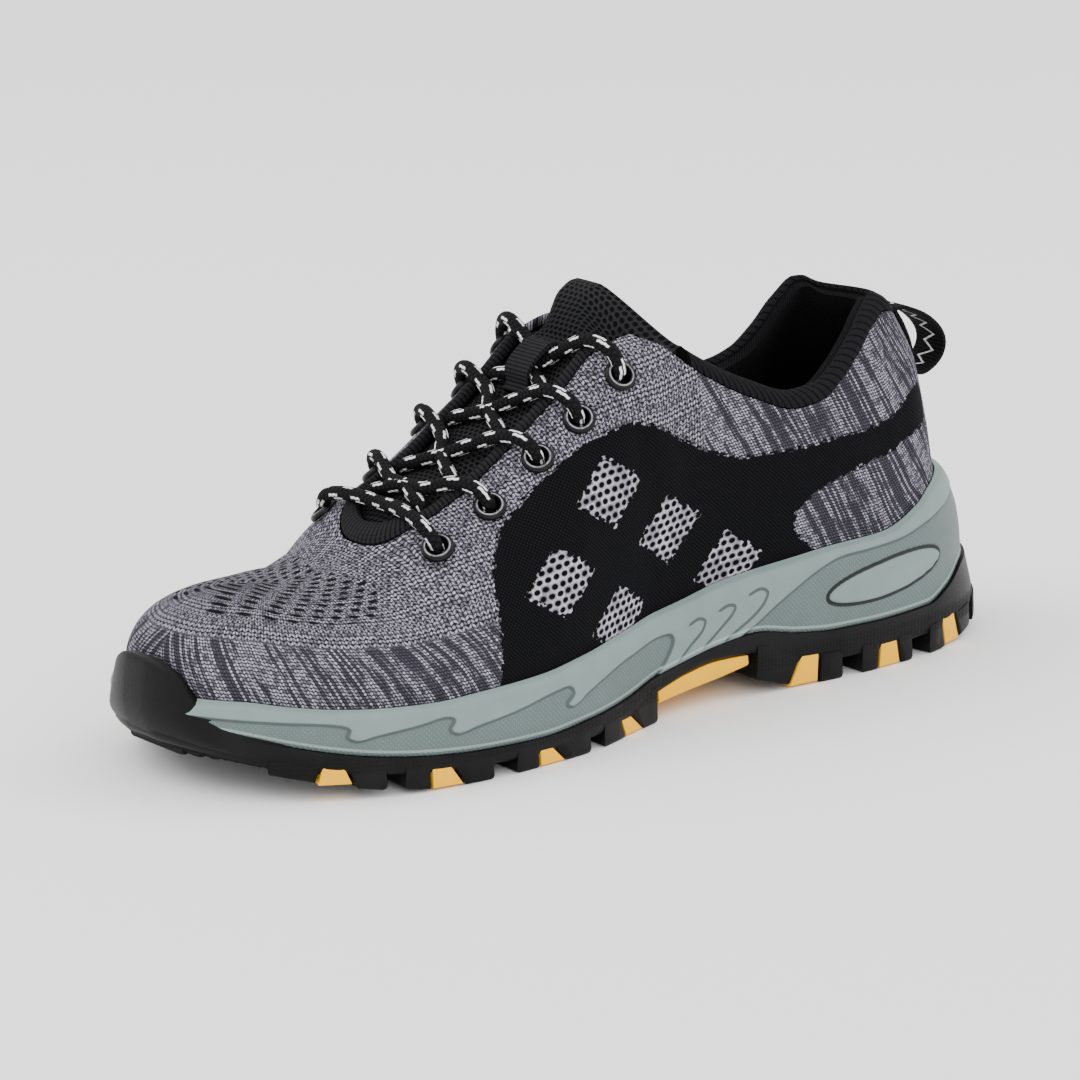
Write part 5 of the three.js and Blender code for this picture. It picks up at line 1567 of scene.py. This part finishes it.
def build_camera():
    turn, rise, distance = math.radians(51.54), math.radians(14.782), 1.658
    target = Vector((0, -0.007, 0.050))
    back = Vector((math.sin(turn) * math.cos(rise), -math.cos(turn) * math.cos(rise),
                   math.sin(rise)))
    data = bpy.data.cameras.new("camera")
    data.sensor_width, data.lens = 36.0, 194.7
    data.shift_x, data.shift_y = -0.0070, -0.01185
    data.clip_start, data.clip_end = 0.05, 40
    camera = bpy.data.objects.new("camera", data)
    camera.location = target + back * distance
    camera.rotation_euler = back.to_track_quat("Z", "Y").to_euler()
    bpy.context.scene.collection.objects.link(camera)
    bpy.context.scene.camera = camera


LIGHTS = (
    ("key_light", (-0.6, -1.1, 1.5), 1.3, 20.0),
    ("fill_light", (1.5, -0.6, 0.7), 1.2, 9.0),
    ("rear_light", (0.5, 1.2, 1.2), 1.0, 9.0),
)


def build_lights():
    for name, place, size, power in LIGHTS:
        data = bpy.data.lights.new(name, "AREA")
        data.energy, data.size = power, size
        light = bpy.data.objects.new(name, data)
        light.location = place
        away = Vector(place) - Vector((0, 0, 0.04))
        light.rotation_euler = away.to_track_quat("Z", "Y").to_euler()
        bpy.context.scene.collection.objects.link(light)
    world = bpy.data.worlds.new("studio")
    world.use_nodes = True
    world.node_tree.nodes["Background"].inputs[0].default_value = (1, 1, 1, 1)
    world.node_tree.nodes["Background"].inputs[1].default_value = 1.5
    bpy.context.scene.world = world


# The add-on

def shade(name, description, colour):
    return bpy.props.FloatVectorProperty(
        name=name, description=description, subtype="COLOR", size=3, min=0, max=1,
        default=[c / 255 for c in colour])


class ShoeColours(bpy.types.PropertyGroup):
    knit: shade("Knit", "Pale yarn of the knitted upper", (166, 163, 176))
    foam: shade("Foam", "Midsole", (116, 133, 130))
    insert: shade("Inserts", "Lug inserts and arch plate", (255, 186, 0))


class ShoeSizes(bpy.types.PropertyGroup):
    lace: bpy.props.FloatProperty(name="Lace", description="Thickness of the lace",
                                  default=0.004, unit="LENGTH")


class Shades:
    """The chosen colours as read on a screen, 0 to 255"""

    def __init__(self, chosen):
        picked = (chosen.knit, chosen.foam, chosen.insert)
        self.knit, self.foam, self.insert = (tuple(c * 255 for c in v) for v in picked)


class UpperOperator(bpy.types.Operator):
    """Builds the knitted upper"""
    bl_idname = "work_shoe.upper"
    bl_label = "Upper"

    def execute(self, context):
        build_upper(knit_finish(Shades(context.scene.shoe_colours)))
        return {"FINISHED"}


class SoleOperator(bpy.types.Operator):
    """Builds the midsole, outsole and inserts"""
    bl_idname = "work_shoe.sole"
    bl_label = "Sole"

    def execute(self, context):
        colours = Shades(context.scene.shoe_colours)
        build_midsole(foam_finish(colours))
        build_outsole(rubber_finish())
        build_inserts(insert_finish(colours))
        return {"FINISHED"}


class LiningOperator(bpy.types.Operator):
    """Builds the footbed, collar and tongue"""
    bl_idname = "work_shoe.lining"
    bl_label = "Lining"

    def execute(self, context):
        build_insole(footbed_finish())
        build_collar(lining_finish())
        build_tongue(mesh_finish())
        build_binding(ribbed_finish("throat_rib", 1.5))
        return {"FINISHED"}


class LacingOperator(bpy.types.Operator):
    """Builds the eyelets, laces, keeper and pull loop"""
    bl_idname = "work_shoe.lacing"
    bl_label = "Lacing"

    def execute(self, context):
        build_eyelets(eyelet_finish())
        build_laces(braid_finish(), context.scene.shoe_sizes.lace * 500)
        build_keeper(ribbed_finish("keeper_grosgrain", 1.2))
        build_pull_loop(loop_finish())
        return {"FINISHED"}


class StageOperator(bpy.types.Operator):
    """Builds the floor, camera and lights"""
    bl_idname = "work_shoe.stage"
    bl_label = "Stage"

    def execute(self, context):
        build_stage(floor_finish())
        build_camera()
        build_lights()
        return {"FINISHED"}


STEPS = ("stage", "upper", "sole", "lining", "lacing")


class ShoePanel(bpy.types.Panel):
    """Lists the steps that build the shoe"""
    bl_idname = "VIEW3D_PT_work_shoe"
    bl_label = "Work shoe"
    bl_space_type = "VIEW_3D"
    bl_region_type = "UI"
    bl_category = "Work shoe"

    def draw(self, context):
        for step in STEPS:
            self.layout.operator(f"work_shoe.{step}")


CLASSES = (ShoeColours, ShoeSizes, UpperOperator, SoleOperator, LiningOperator, LacingOperator,
           StageOperator, ShoePanel)


def register():
    for item in CLASSES:
        bpy.utils.register_class(item)
    bpy.types.Scene.shoe_colours = bpy.props.PointerProperty(type=ShoeColours)
    bpy.types.Scene.shoe_sizes = bpy.props.PointerProperty(type=ShoeSizes)


def unregister():
    del bpy.types.Scene.shoe_sizes
    del bpy.types.Scene.shoe_colours
    for item in reversed(CLASSES):
        bpy.utils.unregister_class(item)


def main():
    register()
    for step in STEPS:
        getattr(bpy.ops.work_shoe, step)()


if __name__ == "__main__":
    main()
